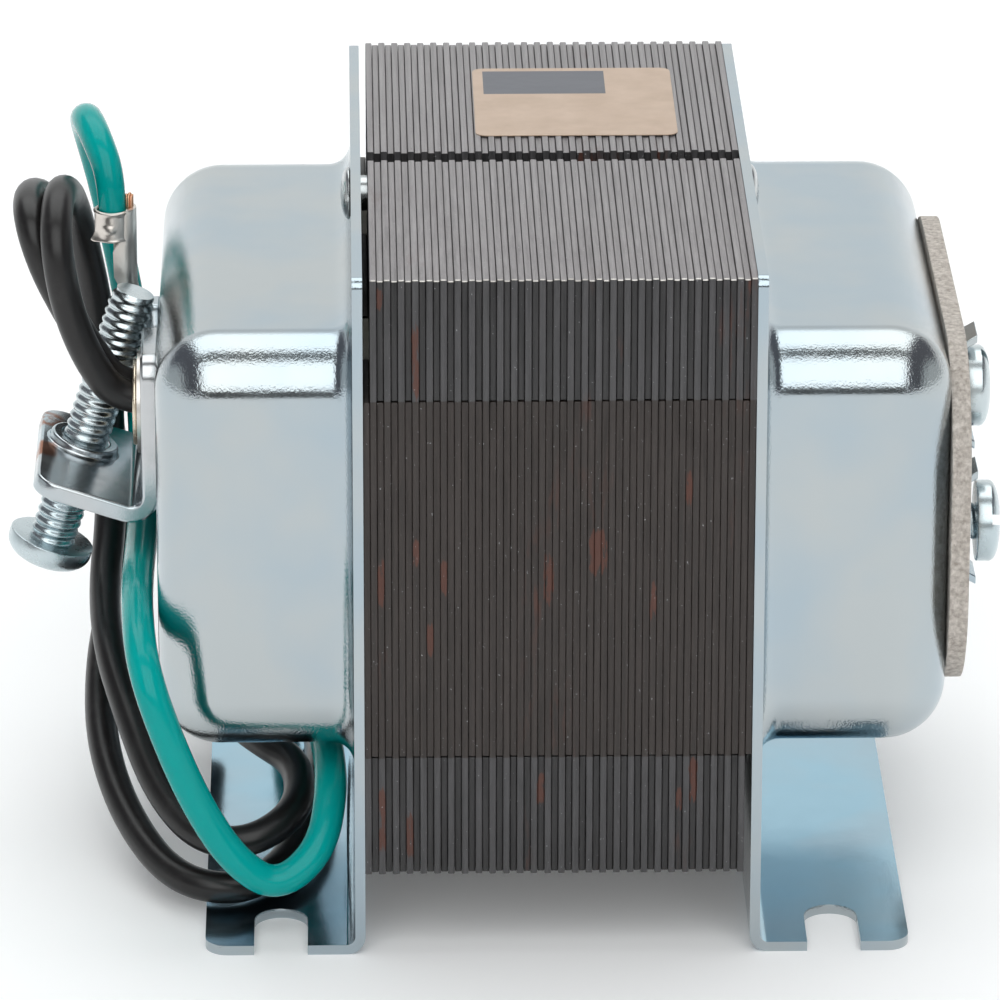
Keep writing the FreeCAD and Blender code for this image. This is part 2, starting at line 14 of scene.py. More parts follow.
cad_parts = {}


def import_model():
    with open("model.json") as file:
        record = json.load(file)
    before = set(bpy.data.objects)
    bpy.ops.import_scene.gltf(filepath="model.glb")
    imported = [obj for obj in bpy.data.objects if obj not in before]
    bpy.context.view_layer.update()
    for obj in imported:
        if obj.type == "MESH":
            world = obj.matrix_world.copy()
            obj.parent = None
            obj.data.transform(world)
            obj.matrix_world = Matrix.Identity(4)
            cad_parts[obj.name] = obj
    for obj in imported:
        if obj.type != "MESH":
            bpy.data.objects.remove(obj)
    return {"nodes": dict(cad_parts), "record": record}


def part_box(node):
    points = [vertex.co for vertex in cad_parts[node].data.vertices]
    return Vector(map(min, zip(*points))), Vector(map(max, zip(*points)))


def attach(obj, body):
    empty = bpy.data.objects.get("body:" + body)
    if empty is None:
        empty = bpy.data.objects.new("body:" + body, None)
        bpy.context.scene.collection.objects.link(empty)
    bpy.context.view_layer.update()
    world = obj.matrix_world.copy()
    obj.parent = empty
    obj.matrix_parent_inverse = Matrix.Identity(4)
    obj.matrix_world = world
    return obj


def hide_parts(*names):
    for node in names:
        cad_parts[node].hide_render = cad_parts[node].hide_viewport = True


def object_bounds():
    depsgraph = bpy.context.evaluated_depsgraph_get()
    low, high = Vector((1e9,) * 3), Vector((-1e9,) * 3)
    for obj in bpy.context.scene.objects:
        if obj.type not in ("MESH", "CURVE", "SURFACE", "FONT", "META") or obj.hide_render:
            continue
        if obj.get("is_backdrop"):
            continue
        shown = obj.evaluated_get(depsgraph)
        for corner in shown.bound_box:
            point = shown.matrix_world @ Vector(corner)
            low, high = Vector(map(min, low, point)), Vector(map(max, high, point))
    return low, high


log = logging.getLogger("transformer")
MM = 0.001
TAU = 2 * math.pi
BODY = "root"
LEG = 11.1125 * MM

Pair = tuple[float, float]
Point = tuple[float, float, float]
Colour = tuple[float, float, float]
Marks = tuple[tuple[Point, Point], ...]
Socket = bpy.types.NodeSocket
Value = Socket | float | Colour


class Slot(Enum):
    """Material slots of the record."""

    CORE = "core_steel"
    RIVET = "rivet_steel"
    ZINC = "zinc_plate"
    SCREW = "zinc_screw"
    EYELET = "eyelet_brass"
    LUG = "lug_tin"
    BOBBIN = "bobbin_nylon"
    COPPER = "copper_wire"
    TAPE = "wrap_tape"
    FIBRE = "fibre_board"
    LABEL = "label_paper"
    BLACK = "black_lead"
    GREEN = "green_lead"


class Graph:
    """A node tree under construction, with short calls for the nodes used here."""

    def __init__(self, tree: bpy.types.NodeTree) -> None:
        """Takes the tree that is built."""
        self.tree = tree

    def add(self, kind: str, values: dict | None = None, **settings) -> bpy.types.Node:
        """Adds a node.

        Args:
            kind: the node's type name.
            values: input name or number to a value or another node's output.
            settings: properties of the node.

        Returns:
            The node.
        """
        node = self.tree.nodes.new(kind)
        for name, value in settings.items():
            setattr(node, name, value)
        for key, value in (values or {}).items():
            if isinstance(value, bpy.types.NodeSocket):
                self.tree.links.new(value, node.inputs[key])
            else:
                node.inputs[key].default_value = value
        return node

    def math(self, operation: str, first: Value, second: Value = 0.0) -> Socket:
        """One arithmetic node's output."""
        return self.add("ShaderNodeMath", {0: first, 1: second}, operation=operation).outputs[0]

    def noise(self, place: Socket, scale: float, detail: float = 4.0, rough: float = 0.55) -> Socket:
        """Noise over a place, in cycles per metre."""
        values = {"Vector": place, "Scale": scale, "Detail": detail, "Roughness": rough}
        return self.add("ShaderNodeTexNoise", values).outputs["Fac"]

    def ramp(self, fac: Value, stops: list[tuple[float, Colour]]) -> Socket:
        """Colour ramp over a value.

        Args:
            fac: the value.
            stops: places from 0 to 1, each with its colour.

        Returns:
            The colour.
        """
        node = self.add("ShaderNodeValToRGB", {"Fac": fac})
        points = node.color_ramp.elements
        while len(points) < len(stops):
            points.new(0.5)
        for point, (place, colour) in zip(points, stops):
            point.position = place
            point.color = (*colour, 1.0)
        return node.outputs["Color"]

    def mix(self, fac: Value, first: Value, second: Value) -> Socket:
        """Mix of two colours.

        Args:
            fac: share of the second.
            first: the colour at 0.
            second: the colour at 1.

        Returns:
            The colour.
        """
        node = self.add("ShaderNodeMix", data_type="RGBA", blend_type="MIX")
        for index, value in ((0, fac), (6, first), (7, second)):
            if isinstance(value, Socket):
                self.tree.links.new(value, node.inputs[index])
            else:
                node.inputs[index].default_value = (*value, 1.0) if isinstance(value, tuple) else value
        return node.outputs[2]

    def stretch(self, place: Socket, scale: Point) -> Socket:
        """A place with its axes scaled."""
        return self.add("ShaderNodeMapping", {"Vector": place, "Scale": scale}).outputs["Vector"]

    def levels(self, fac: Value, low: float, high: float, to_low: float = 0.0,
               to_high: float = 1.0) -> Socket:
        """A value's range moved to another, clamped."""
        return self.add("ShaderNodeMapRange", {0: fac, 1: low, 2: high, 3: to_low, 4: to_high}).outputs[0]


def new_material(name: str) -> tuple[bpy.types.Material, Graph, bpy.types.Node, Socket]:
    """A new material.

    Args:
        name: its name.

    Returns:
        The material, its tree, its surface shader and the object coordinates it is laid out in.
    """
    material = bpy.data.materials.new(name)
    material.use_nodes = True
    graph = Graph(material.node_tree)
    surface = material.node_tree.nodes["Principled BSDF"]
    place = graph.add("ShaderNodeTexCoord").outputs["Object"]
    return material, graph, surface, place


def relief(graph: Graph, surface: bpy.types.Node, height: Socket, distance: float,
           strength: float = 1.0) -> None:
    """Bump of a surface from a height."""
    bump = graph.add("ShaderNodeBump", {"Height": height, "Distance": distance, "Strength": strength})
    graph.tree.links.new(bump.outputs["Normal"], surface.inputs["Normal"])


def spots(graph: Graph, place: Socket, marks: Marks) -> Socket:
    """Soft spots with bar-like sides.

    Args:
        graph: the material's tree.
        place: object coordinates.
        marks: each a centre and its reaches along X, Y and Z, in millimetres.

    Returns:
        1 inside a spot, 0 away from all.
    """
    total = None
    for centre, reach in marks:
        scale = tuple(1 / (value * MM) for value in reach)
        moved = tuple(-at * MM * factor for at, factor in zip(centre, scale))
        near = graph.add("ShaderNodeMapping", {"Vector": place, "Location": moved, "Scale": scale}).outputs[0]
        square = graph.add("ShaderNodeVectorMath", {0: near, 1: near}, operation="MULTIPLY").outputs["Vector"]
        far = graph.add("ShaderNodeVectorMath", {0: square}, operation="LENGTH").outputs["Value"]
        spot = graph.levels(far, 1.0, 0.4)
        total = spot if total is None else graph.math("MAXIMUM", total, spot)
    return total


@dataclass(frozen=True)
class Plating:
    """A bright metal finish: waves, grain and the extra grain of drawn bends are heights in metres."""

    name: str
    colour: Colour
    tint: Colour
    roughness: tuple[float, float]
    wave: float = 0.00004
    grain: float = 0.000004
    drawn: float = 0.0
    rust: Marks = ()
    rust_colour: Colour = (0.30, 0.105, 0.04)
    # Painted reflection: how much bluer flat faces near the floor are tinted, and the heights in metres where
    # the tint fades in.
    painted_reflection_shift: Colour = (0.80, 1.10, 1.22)
    painted_reflection_heights: tuple[float, float] = (0.013, 0.004)

    def build(self) -> bpy.types.Material:
        """Plated sheet: a faint colour drift, a painted reflection that tints flat faces near the floor
        bluer, cloudy gloss and slow waves.

        Returns:
            The material.
        """
        material, graph, surface, place = new_material(self.name)
        drift = graph.noise(place, 55.0, 3.0)
        cloud = graph.noise(place, 420.0, 5.0, 0.65)
        colour = graph.mix(graph.levels(drift, 0.38, 0.62), self.colour, self.tint)
        height = graph.add("ShaderNodeSeparateXYZ", {"Vector": place}).outputs["Z"]
        normal = graph.add("ShaderNodeNewGeometry").outputs["Normal"]
        facing = graph.add("ShaderNodeSeparateXYZ", {"Vector": normal})
        x, y, z = (graph.math("ABSOLUTE", facing.outputs[axis]) for axis in "XYZ")
        # Painted reflection: flat faces near the floor take a bluer colour, standing in for the bell
        # reflected in them.
        painted_reflection_blue = tuple(value * shift for value, shift in zip(self.colour, self.painted_reflection_shift))
        low = graph.math("MULTIPLY", graph.levels(height, *self.painted_reflection_heights), graph.levels(z, 0.4, 0.8))
        patchy = graph.levels(drift, 0.35, 0.6, 0.45, 1.0)
        colour = graph.mix(graph.math("MULTIPLY", low, patchy), colour, painted_reflection_blue)
        if self.rust:
            rusty = graph.math("MULTIPLY", spots(graph, place, self.rust), graph.levels(cloud, 0.38, 0.5))
            colour = graph.mix(rusty, colour, self.rust_colour)
        surface.inputs["Metallic"].default_value = 1.0
        graph.tree.links.new(colour, surface.inputs["Base Color"])
        gloss = graph.levels(cloud, 0.3, 0.7, *self.roughness)
        graph.tree.links.new(gloss, surface.inputs["Roughness"])
        waves = graph.math("MULTIPLY", graph.noise(place, 60.0, 2.0), self.wave)
        level = graph.math("MAXIMUM", x, graph.math("MAXIMUM", y, z))
        peel = graph.levels(level, 0.985, 0.93, self.grain, self.grain + self.drawn)
        grain = graph.math("MULTIPLY", graph.noise(place, 4800.0, 2.0), peel)
        relief(graph, surface, graph.math("ADD", waves, grain), 1.0)
        return material


@dataclass(frozen=True)
class Insulation:
    """A lead's plastic."""

    name: str
    colour: Colour
    worn: Colour
    roughness: float
    shine: float

    def build(self) -> bpy.types.Material:
        """Extruded plastic with soft scuffs and a slightly uneven skin.

        Returns:
            The material.
        """
        material, graph, surface, place = new_material(self.name)
        scuffs = graph.levels(graph.noise(place, 380.0, 6.0, 0.7), 0.52, 0.75)
        graph.tree.links.new(graph.mix(scuffs, self.colour, self.worn), surface.inputs["Base Color"])
        gloss = graph.levels(scuffs, 0.0, 1.0, self.roughness, self.roughness + 0.12)
        graph.tree.links.new(gloss, surface.inputs["Roughness"])
        surface.inputs["Specular IOR Level"].default_value = self.shine
        relief(graph, surface, graph.noise(place, 900.0, 4.0), 0.00004, 0.5)
        return material


@dataclass(frozen=True)
class Matte:
    """A dull finish with two tones of grain."""

    name: str
    dark: Colour
    light: Colour
    scale: float
    roughness: float = 0.8
    bump: float = 0.0001

    def build(self) -> bpy.types.Material:
        """Grainy surface.

        Returns:
            The material.
        """
        material, graph, surface, place = new_material(self.name)
        grain = graph.noise(place, self.scale, 8.0, 0.7)
        colour = graph.ramp(grain, [(0.34, self.dark), (0.66, self.light)])
        graph.tree.links.new(colour, surface.inputs["Base Color"])
        surface.inputs["Roughness"].default_value = self.roughness
        relief(graph, surface, grain, self.bump)
        return material


@dataclass(frozen=True)
class CutEdges:
    """Cut edges of varnished silicon steel."""

    name: str
    dark: Colour
    light: Colour
    rust: float
    rust_colour: Colour = (0.095, 0.034, 0.022)
    speck_colour: Colour = (0.75, 0.76, 0.78)

    def streaks(self) -> Marks:
        """Rust streaks on the front, each on the middle of one sheet.

        Returns:
            A centre and its reaches for each, in millimetres.
        """
        low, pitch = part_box("laminated_core")[0].x / MM, CoreSizes.sheet
        marks = []
        for x, z, wide, tall in ((-8.3, 56.0, 0.42, 4.2), (-11.6, 61.5, 0.36, 1.2), (7.4, 38.1, 0.95, 2.6),
                                 (2.9, 35.6, 0.6, 3.0), (-5.8, 35.8, 0.4, 2.0), (-11.2, 35.2, 0.4, 2.8),
                                 (-8.3, 38.0, 0.36, 1.6), (15.7, 16.6, 0.5, 2.8), (14.7, 14.7, 0.36, 1.6),
                                 (12.3, 33.6, 0.4, 2.2), (-9.0, 11.5, 0.42, 2.8), (-11.3, 12.8, 0.42, 3.6),
                                 (15.0, 43.9, 0.36, 2.2), (-7.2, 30.0, 0.36, 2.0), (2.8, 15.7, 0.5, 1.8)):
            sheet = round((x - low) / pitch - 0.5)
            marks.append(((low + (sheet + 0.5) * pitch, -33.3, z), (wide, 3.0, tall)))
        return tuple(marks)

    def build(self) -> bpy.types.Material:
        """Streaks along each sheet, specks and rust in places.

        Returns:
            The material.
        """
        material, graph, surface, place = new_material(self.name)
        across = graph.noise(graph.stretch(place, (3300.0, 60.0, 60.0)), 1.0, 2.0)
        along = graph.noise(graph.stretch(place, (1600.0, 260.0, 260.0)), 1.0, 6.0, 0.7)
        tone = graph.math("ADD", graph.math("MULTIPLY", across, 0.45), graph.math("MULTIPLY", along, 0.55))
        colour = graph.ramp(tone, [(0.33, self.dark), (0.67, self.light)])
        patch = graph.levels(graph.noise(graph.stretch(place, (150.0, 70.0, 42.0)), 1.0, 3.0), 0.60, 0.68)
        fine = graph.levels(graph.noise(graph.stretch(place, (1700.0, 300.0, 260.0)), 1.0, 4.0), 0.50, 0.62)
        rusty = graph.math("MULTIPLY", graph.math("MULTIPLY", patch, fine), self.rust)
        streak = graph.noise(graph.stretch(place, (2600.0, 300.0, 420.0)), 1.0, 5.0, 0.7)
        marked = graph.math("MULTIPLY", spots(graph, place, self.streaks()), 0.30)
        streak = graph.levels(graph.math("ADD", streak, marked), 0.70, 0.76, 0.0, 0.9)
        colour = graph.mix(graph.math("MAXIMUM", rusty, streak), colour, self.rust_colour)
        specks = graph.levels(graph.noise(place, 3800.0, 2.0), 0.72, 0.76)
        colour = graph.mix(graph.math("MULTIPLY", specks, 0.4), colour, self.speck_colour)
        graph.tree.links.new(colour, surface.inputs["Base Color"])
        surface.inputs["Metallic"].default_value = 0.15
        graph.tree.links.new(graph.levels(along, 0.3, 0.7, 0.32, 0.52), surface.inputs["Roughness"])
        relief(graph, surface, along, 0.00008)
        return material


@dataclass(frozen=True)
class LabelFilm:
    """A bare film label with one plain field of colour, whose edges are millimetres from its middle."""

    name: str
    dark: Colour = (0.45, 0.32, 0.225)
    light: Colour = (0.54, 0.40, 0.30)
    field: Colour = (0.085, 0.090, 0.110)
    field_x: tuple[float, float] = (-8.2, 3.0)
    field_y: tuple[float, float] = (2.2, 8.9)

    def inside(self, graph: Graph, value: Socket, edges: tuple[float, float]) -> Socket:
        """1 where a value lies between two edges in millimetres."""
        over = graph.math("GREATER_THAN", value, edges[0] * MM)
        return graph.math("MULTIPLY", over, graph.math("LESS_THAN", value, edges[1] * MM))

    def build(self, centre: Vector) -> bpy.types.Material:
        """Pale ground with the field on it.

        Args:
            centre: the label's middle.

        Returns:
            The material.
        """
        material, graph, surface, place = new_material(self.name)
        split = graph.add("ShaderNodeSeparateXYZ", {"Vector": place})
        x = graph.math("SUBTRACT", split.outputs["X"], centre.x)
        y = graph.math("SUBTRACT", split.outputs["Y"], centre.y)
        across, along = self.inside(graph, x, self.field_x), self.inside(graph, y, self.field_y)
        covered = graph.math("MULTIPLY", across, along)
        paper = graph.ramp(graph.noise(place, 300.0, 5.0), [(0.3, self.dark), (0.7, self.light)])
        graph.tree.links.new(graph.mix(covered, paper, self.field), surface.inputs["Base Color"])
        surface.inputs["Roughness"].default_value = 0.35
        relief(graph, surface, graph.noise(place, 220.0, 3.0), 0.00006)
        return material


class Palette:
    """All materials, one for each slot, and those of single pieces."""

    def __init__(self) -> None:
        """Builds every finish."""
        finishes = {
            Slot.ZINC: Plating("bell_zinc", (0.40, 0.475, 0.525), (0.465, 0.50, 0.51), (0.10, 0.17),
                               drawn=0.000024),
            Slot.SCREW: Plating("screw_zinc", (0.52, 0.60, 0.63), (0.60, 0.65, 0.66), (0.2, 0.32)),
            Slot.RIVET: Plating("rivet_plate", (0.50, 0.54, 0.56), (0.58, 0.60, 0.60), (0.2, 0.34)),
            Slot.EYELET: Plating("eyelet_brass", (0.72, 0.60, 0.44), (0.78, 0.68, 0.54), (0.2, 0.34)),
            Slot.LUG: Plating("lug_tin", (0.66, 0.61, 0.56), (0.74, 0.70, 0.66), (0.26, 0.42)),
            Slot.COPPER: Plating("copper", (0.72, 0.40, 0.25), (0.80, 0.50, 0.34), (0.25, 0.4)),
            Slot.CORE: CutEdges("core_varnish", (0.026, 0.023, 0.021), (0.062, 0.055, 0.050), 0.4),
            Slot.BOBBIN: Matte("bobbin_nylon", (0.60, 0.58, 0.50), (0.72, 0.70, 0.62), 500.0, 0.5),
            Slot.TAPE: Matte("wrap_tape", (0.55, 0.42, 0.16), (0.68, 0.55, 0.26), 700.0, 0.4),
            Slot.FIBRE: Matte("fibre_board", (0.36, 0.31, 0.27), (0.76, 0.70, 0.64), 1900.0, 0.85, 0.0003),
            Slot.BLACK: Insulation("black_insulation", (0.010, 0.009, 0.009), (0.022, 0.020, 0.020),
                                   0.33, 0.45),
            Slot.GREEN: Insulation("green_insulation", (0.0, 0.34, 0.32), (0.0, 0.355, 0.335), 0.16, 0.2),
        }
        self.by_slot = {slot: finish.build() for slot, finish in finishes.items()}
        low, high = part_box("rating_label")
        self.by_slot[Slot.LABEL] = LabelFilm("label_film").build((low + high) / 2)
        self.bracket = Plating("bracket_zinc", (0.445, 0.53, 0.57), (0.54, 0.55, 0.56), (0.16, 0.28),
                               rust=self.bracket_rust()).build()
        # Lit and shaded copies of one steel: painted light on the proud E sheets, painted shade on the
        # set-back I sheets.
        self.sheet_proud_lit = CutEdges("sheet_proud_lit", (0.043, 0.042, 0.0435), (0.088, 0.085, 0.088), 0.3).build()
        self.sheet_back_shaded = CutEdges("sheet_back_shaded", (0.014, 0.0135, 0.014), (0.045, 0.043, 0.044), 0.8).build()
        # Painted light: a paler copy of the steel for the upward-facing top edges, which the light falls on
        # more.
        self.sheet_top_painted_light = CutEdges("sheet_top_painted_light", (0.170, 0.157, 0.160), (0.330, 0.312, 0.316), 0.2).build()
        self.sheet_burr = Plating("sheet_burr", (0.55, 0.53, 0.50), (0.30, 0.28, 0.26), (0.2, 0.5)).build()
        self.sheet_leg = CutEdges("sheet_leg", (0.020, 0.0155, 0.0135), (0.050, 0.040, 0.036), 0.6).build()

    def bracket_rust(self) -> Marks:
        """Two rust spots on the clamp bracket's outer leg.

        Returns:
            A centre and its reaches for each, in millimetres.
        """
        low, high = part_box("clamp_bracket")
        marks = []
        for along, share, reach in ((0.9, 0.44, 2.2), (1.3, 0.83, 2.0)):
            y = (low.y + (high.y - low.y) * share) / MM
            marks.append(((low.x / MM + along, y, low.z / MM + 4.8), (1.3, reach, 2.4)))
        return tuple(marks)


class Piece:
    """Makes finished pieces that ride on the body."""

    def __init__(self, palette: Palette) -> None:
        """Takes the finishes."""
        self.palette = palette

    def finish(self, obj: bpy.types.Object, slot: Slot, *nodes: str) -> bpy.types.Object:
        """Gives a new piece its material, body and slot.

        Args:
            obj: the piece, at the origin.
            slot: the record's slot.
            nodes: CAD nodes it stands for.

        Returns:
            The piece.
        """
        if not obj.data.materials:
            obj.data.materials.append(self.palette.by_slot[slot])
        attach(obj, BODY)
        if nodes:
            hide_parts(*nodes)
        return obj

    def mesh(self, name: str, build: bmesh.types.BMesh, smooth: float = 40.0) -> bpy.types.Object:
        """An object from a bmesh.

        Args:
            name: of the object.
            build: its mesh, which is freed.
            smooth: the angle in degrees past which an edge is sharp.

        Returns:
            The object, in the scene.
        """
        data = bpy.data.meshes.new(name)
        build.to_mesh(data)
        build.free()
        data.shade_smooth()
        data.set_sharp_from_angle(angle=math.radians(smooth))
        obj = bpy.data.objects.new(name, data)
        bpy.context.scene.collection.objects.link(obj)
        return obj


def apply_modifiers(obj: bpy.types.Object) -> None:
    """Turns an object's modifiers into its mesh."""
    depsgraph = bpy.context.evaluated_depsgraph_get()
    data = bpy.data.meshes.new_from_object(obj.evaluated_get(depsgraph))
    obj.modifiers.clear()
    obj.data = data


def flat_faces_first(obj: bpy.types.Object, angle: float) -> None:
    """Smooth shading that leaves large flat faces flat, sharp over the angle in degrees."""
    obj.data.shade_smooth()
    obj.data.set_sharp_from_angle(angle=math.radians(angle))
    weigh = obj.modifiers.new("normals", "WEIGHTED_NORMAL")
    weigh.mode = "FACE_AREA"
    weigh.weight = 100
    weigh.keep_sharp = True
    apply_modifiers(obj)


def revolve(profile: list[tuple[float, float]], steps: int) -> bmesh.types.BMesh:
    """Surface of revolution about Z.

    Args:
        profile: (radius, height) points in millimetres.
        steps: round the axis.

    Returns:
        The surface, in metres.
    """
    around = [(MM * math.cos(TAU * i / steps), MM * math.sin(TAU * i / steps)) for i in range(steps)]
    build = bmesh.new()
    rings = []
    for radius, height in profile:
        if radius < 1e-6:
            rings.append([build.verts.new((0, 0, height * MM))])
            continue
        rings.append([build.verts.new((radius * x, radius * y, height * MM)) for x, y in around])
    for low, high in zip(rings, rings[1:]):
        for i in range(steps):
            j = (i + 1) % steps
            corners = [low[i % len(low)], low[j % len(low)], high[j % len(high)], high[i % len(high)]]
            unique = list(dict.fromkeys(corners))
            if len(unique) > 2:
                build.faces.new(unique)
    return build


def arc(centre: Pair, radius: float, start: float, end: float, steps: int) -> list[Pair]:
    """Points of an arc in a plane, angles in degrees."""
    angles = [math.radians(start + (end - start) * i / steps) for i in range(steps + 1)]
    return [(centre[0] + radius * math.cos(a), centre[1] + radius * math.sin(a)) for a in angles]


def place_mesh(build: bmesh.types.BMesh, origin: Vector, direction: Vector, turn: float = 0.0) -> None:
    """Stands a mesh made about Z on an origin, along a direction."""
    spin = Matrix.Rotation(turn, 4, "Z")
    aim = direction.to_track_quat("Z", "Y").to_matrix().to_4x4()
    bmesh.ops.transform(build, matrix=Matrix.Translation(origin) @ aim @ spin, verts=build.verts)


@dataclass(frozen=True)
class CameraFit:
    """The camera: turns in degrees, lens in millimetres, place in leg widths from the core's underside."""

    yaw: float = 1.258
    pitch: float = 21.128
    roll: float = 0.075
    lens: float = 278.3
    sensor: float = 36.0
    clip: float = 0.05
    place: Point = (-1.6975, -59.1549, 24.8853)


class Studio:
    """Floor, light and camera.

    The bands are the light tent's brightness by the angle from behind the object, over its top, to the
    camera, and the bands beside them the same farther out, where the soft boxes have ended.
    """

    fit = CameraFit()
    bands = ((0, 1.0), (23, 1.0), (32, 0.8), (40, 1.0), (48, 2.1), (90, 2.1), (94, 0.2), (108, 0.2),
             (113, 2.1), (164, 2.1), (169, 0.12), (180, 0.1))
    beside_bands = [(0.0, (0.3, 0.3, 0.3)), (0.12, (0.3, 0.3, 0.3)), (0.16, (0.05, 0.05, 0.056)),
                    (1.0, (0.04, 0.04, 0.045))]
    bands_end = (0.45, 0.52)
    sides_start = (0.84, 0.92)
    sides = 0.6
    tent = 3.0
    backdrop = 0.1
    lamp_place = (0.1, -0.15, 1.3)
    lamp_aim = (0, 0, 0.03)
    lamp_size = (0.9, 0.8)
    lamp_power = 1.0

    def __init__(self, core_middle: float, core_low: float) -> None:
        """Takes the core's middle in X and the height of its underside."""
        self.core_middle = core_middle
        self.core_low = core_low

    def camera(self) -> None:
        """Long lens above the front, as in the photograph."""
        fit = self.fit
        yaw, pitch, roll = (math.radians(angle) for angle in (fit.yaw, fit.pitch, fit.roll))
        ahead = Vector((math.sin(yaw) * math.cos(pitch), math.cos(yaw) * math.cos(pitch), -math.sin(pitch)))
        level = Vector((math.cos(yaw), -math.sin(yaw), 0))
        above = level.cross(ahead)
        right = level * math.cos(roll) + above * math.sin(roll)
        up = above * math.cos(roll) - level * math.sin(roll)
        camera = bpy.data.objects.new("camera", bpy.data.cameras.new("camera"))
        camera.data.lens = fit.lens
        camera.data.sensor_width = fit.sensor
        camera.data.clip_start = fit.clip
        x, y, z = fit.place
        place = Vector((self.core_middle + x * LEG, y * LEG, self.core_low + z * LEG))
        turn = Matrix((right, up, -ahead)).transposed().to_4x4()
        camera.matrix_world = Matrix.Translation(place) @ turn
        bpy.context.scene.collection.objects.link(camera)
        bpy.context.scene.camera = camera

    def lamp(self) -> None:
        """A soft rectangular light overhead, unseen in the metal."""
        data = bpy.data.lights.new("overhead", "AREA")
        data.shape = "RECTANGLE"
        data.size, data.size_y = self.lamp_size
        data.energy = self.lamp_power
        obj = bpy.data.objects.new("overhead", data)
        obj.visible_glossy = False
        obj.location = self.lamp_place
        aim = Vector(self.lamp_aim) - Vector(self.lamp_place)
        obj.rotation_euler = aim.to_track_quat("-Z", "Y").to_euler()
        bpy.context.scene.collection.objects.link(obj)

    def floor(self) -> None:
        """A pale sheet under the object."""
        build = bmesh.new()
        bmesh.ops.create_grid(build, x_segments=8, y_segments=8, size=6.0)
        data = bpy.data.meshes.new("floor")
        build.to_mesh(data)
        build.free()
        material, graph, surface, place = new_material("floor_paper")
        pale = [(0.3, (0.94, 0.94, 0.94)), (0.7, (0.95, 0.95, 0.95))]
        graph.tree.links.new(graph.ramp(graph.noise(place, 3.0, 2.0), pale), surface.inputs["Base Color"])
        surface.inputs["Roughness"].default_value = 0.9
        surface.inputs["Specular IOR Level"].default_value = 0.1
        surface.inputs["Emission Color"].default_value = (1.0, 1.0, 1.0, 1.0)
        path = graph.add("ShaderNodeLightPath")
        seen = graph.math("MAXIMUM", path.outputs["Is Camera Ray"], path.outputs["Is Glossy Ray"])
        seen = graph.math("MAXIMUM", seen, path.outputs["Is Transmission Ray"])
        graph.tree.links.new(graph.math("MULTIPLY", seen, self.backdrop), surface.inputs["Emission Strength"])
        data.materials.append(material)
        floor = bpy.data.objects.new("floor", data)
        bpy.context.scene.collection.objects.link(floor)
        floor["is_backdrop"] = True

    def world(self) -> None:
        """A light tent: soft boxes above and in front with dark gaps between them, pale sides."""
        world = bpy.data.worlds.new("studio")
        bpy.context.scene.world = world
        world.use_nodes = True
        graph = Graph(world.node_tree)
        way = graph.add("ShaderNodeTexCoord").outputs["Generated"]
        split = graph.add("ShaderNodeSeparateXYZ", {"Vector": way})
        around = graph.math("ARCTAN2", split.outputs["Z"], split.outputs["Y"])
        around = graph.math("DIVIDE", around, math.pi)
        over = [(angle / 180, (value * 0.98 / self.tent, value / self.tent, value / self.tent))
                for angle, value in self.bands]
        out = graph.math("ABSOLUTE", split.outputs["X"])
        colour = graph.mix(graph.levels(out, *self.bands_end), graph.ramp(around, over),
                           graph.ramp(around, self.beside_bands))
        shade = self.sides / self.tent
        colour = graph.mix(graph.levels(out, *self.sides_start), colour, (shade * 0.95, shade * 0.99, shade))
        world.node_tree.links.new(colour, world.node_tree.nodes["Background"].inputs["Color"])
        world.node_tree.nodes["Background"].inputs["Strength"].default_value = self.tent

    def build(self) -> None:
        """Sets the studio up."""
        scene = bpy.context.scene
        scene.view_settings.view_transform = "Standard"
        scene.view_settings.look = "None"
        self.camera()
        self.floor()
        self.world()
        self.lamp()


@dataclass(frozen=True)
class CoreSizes:
    """Sizes of the laminated core, in millimetres."""

    leg: float = 11.1125
    sheet: float = 0.607
    gap: float = 0.02
    count: int = 56
    back_step: float = 0.16
    back_rise: float = 0.2
    joint: float = 0.10
    scatter: float = 0.025
    notch_width: float = 2.4
    notch_depth: float = 1.0
    edge_round: float = 0.09
    rivet_inset: float = 3.45
    rivet_hole: float = 1.7


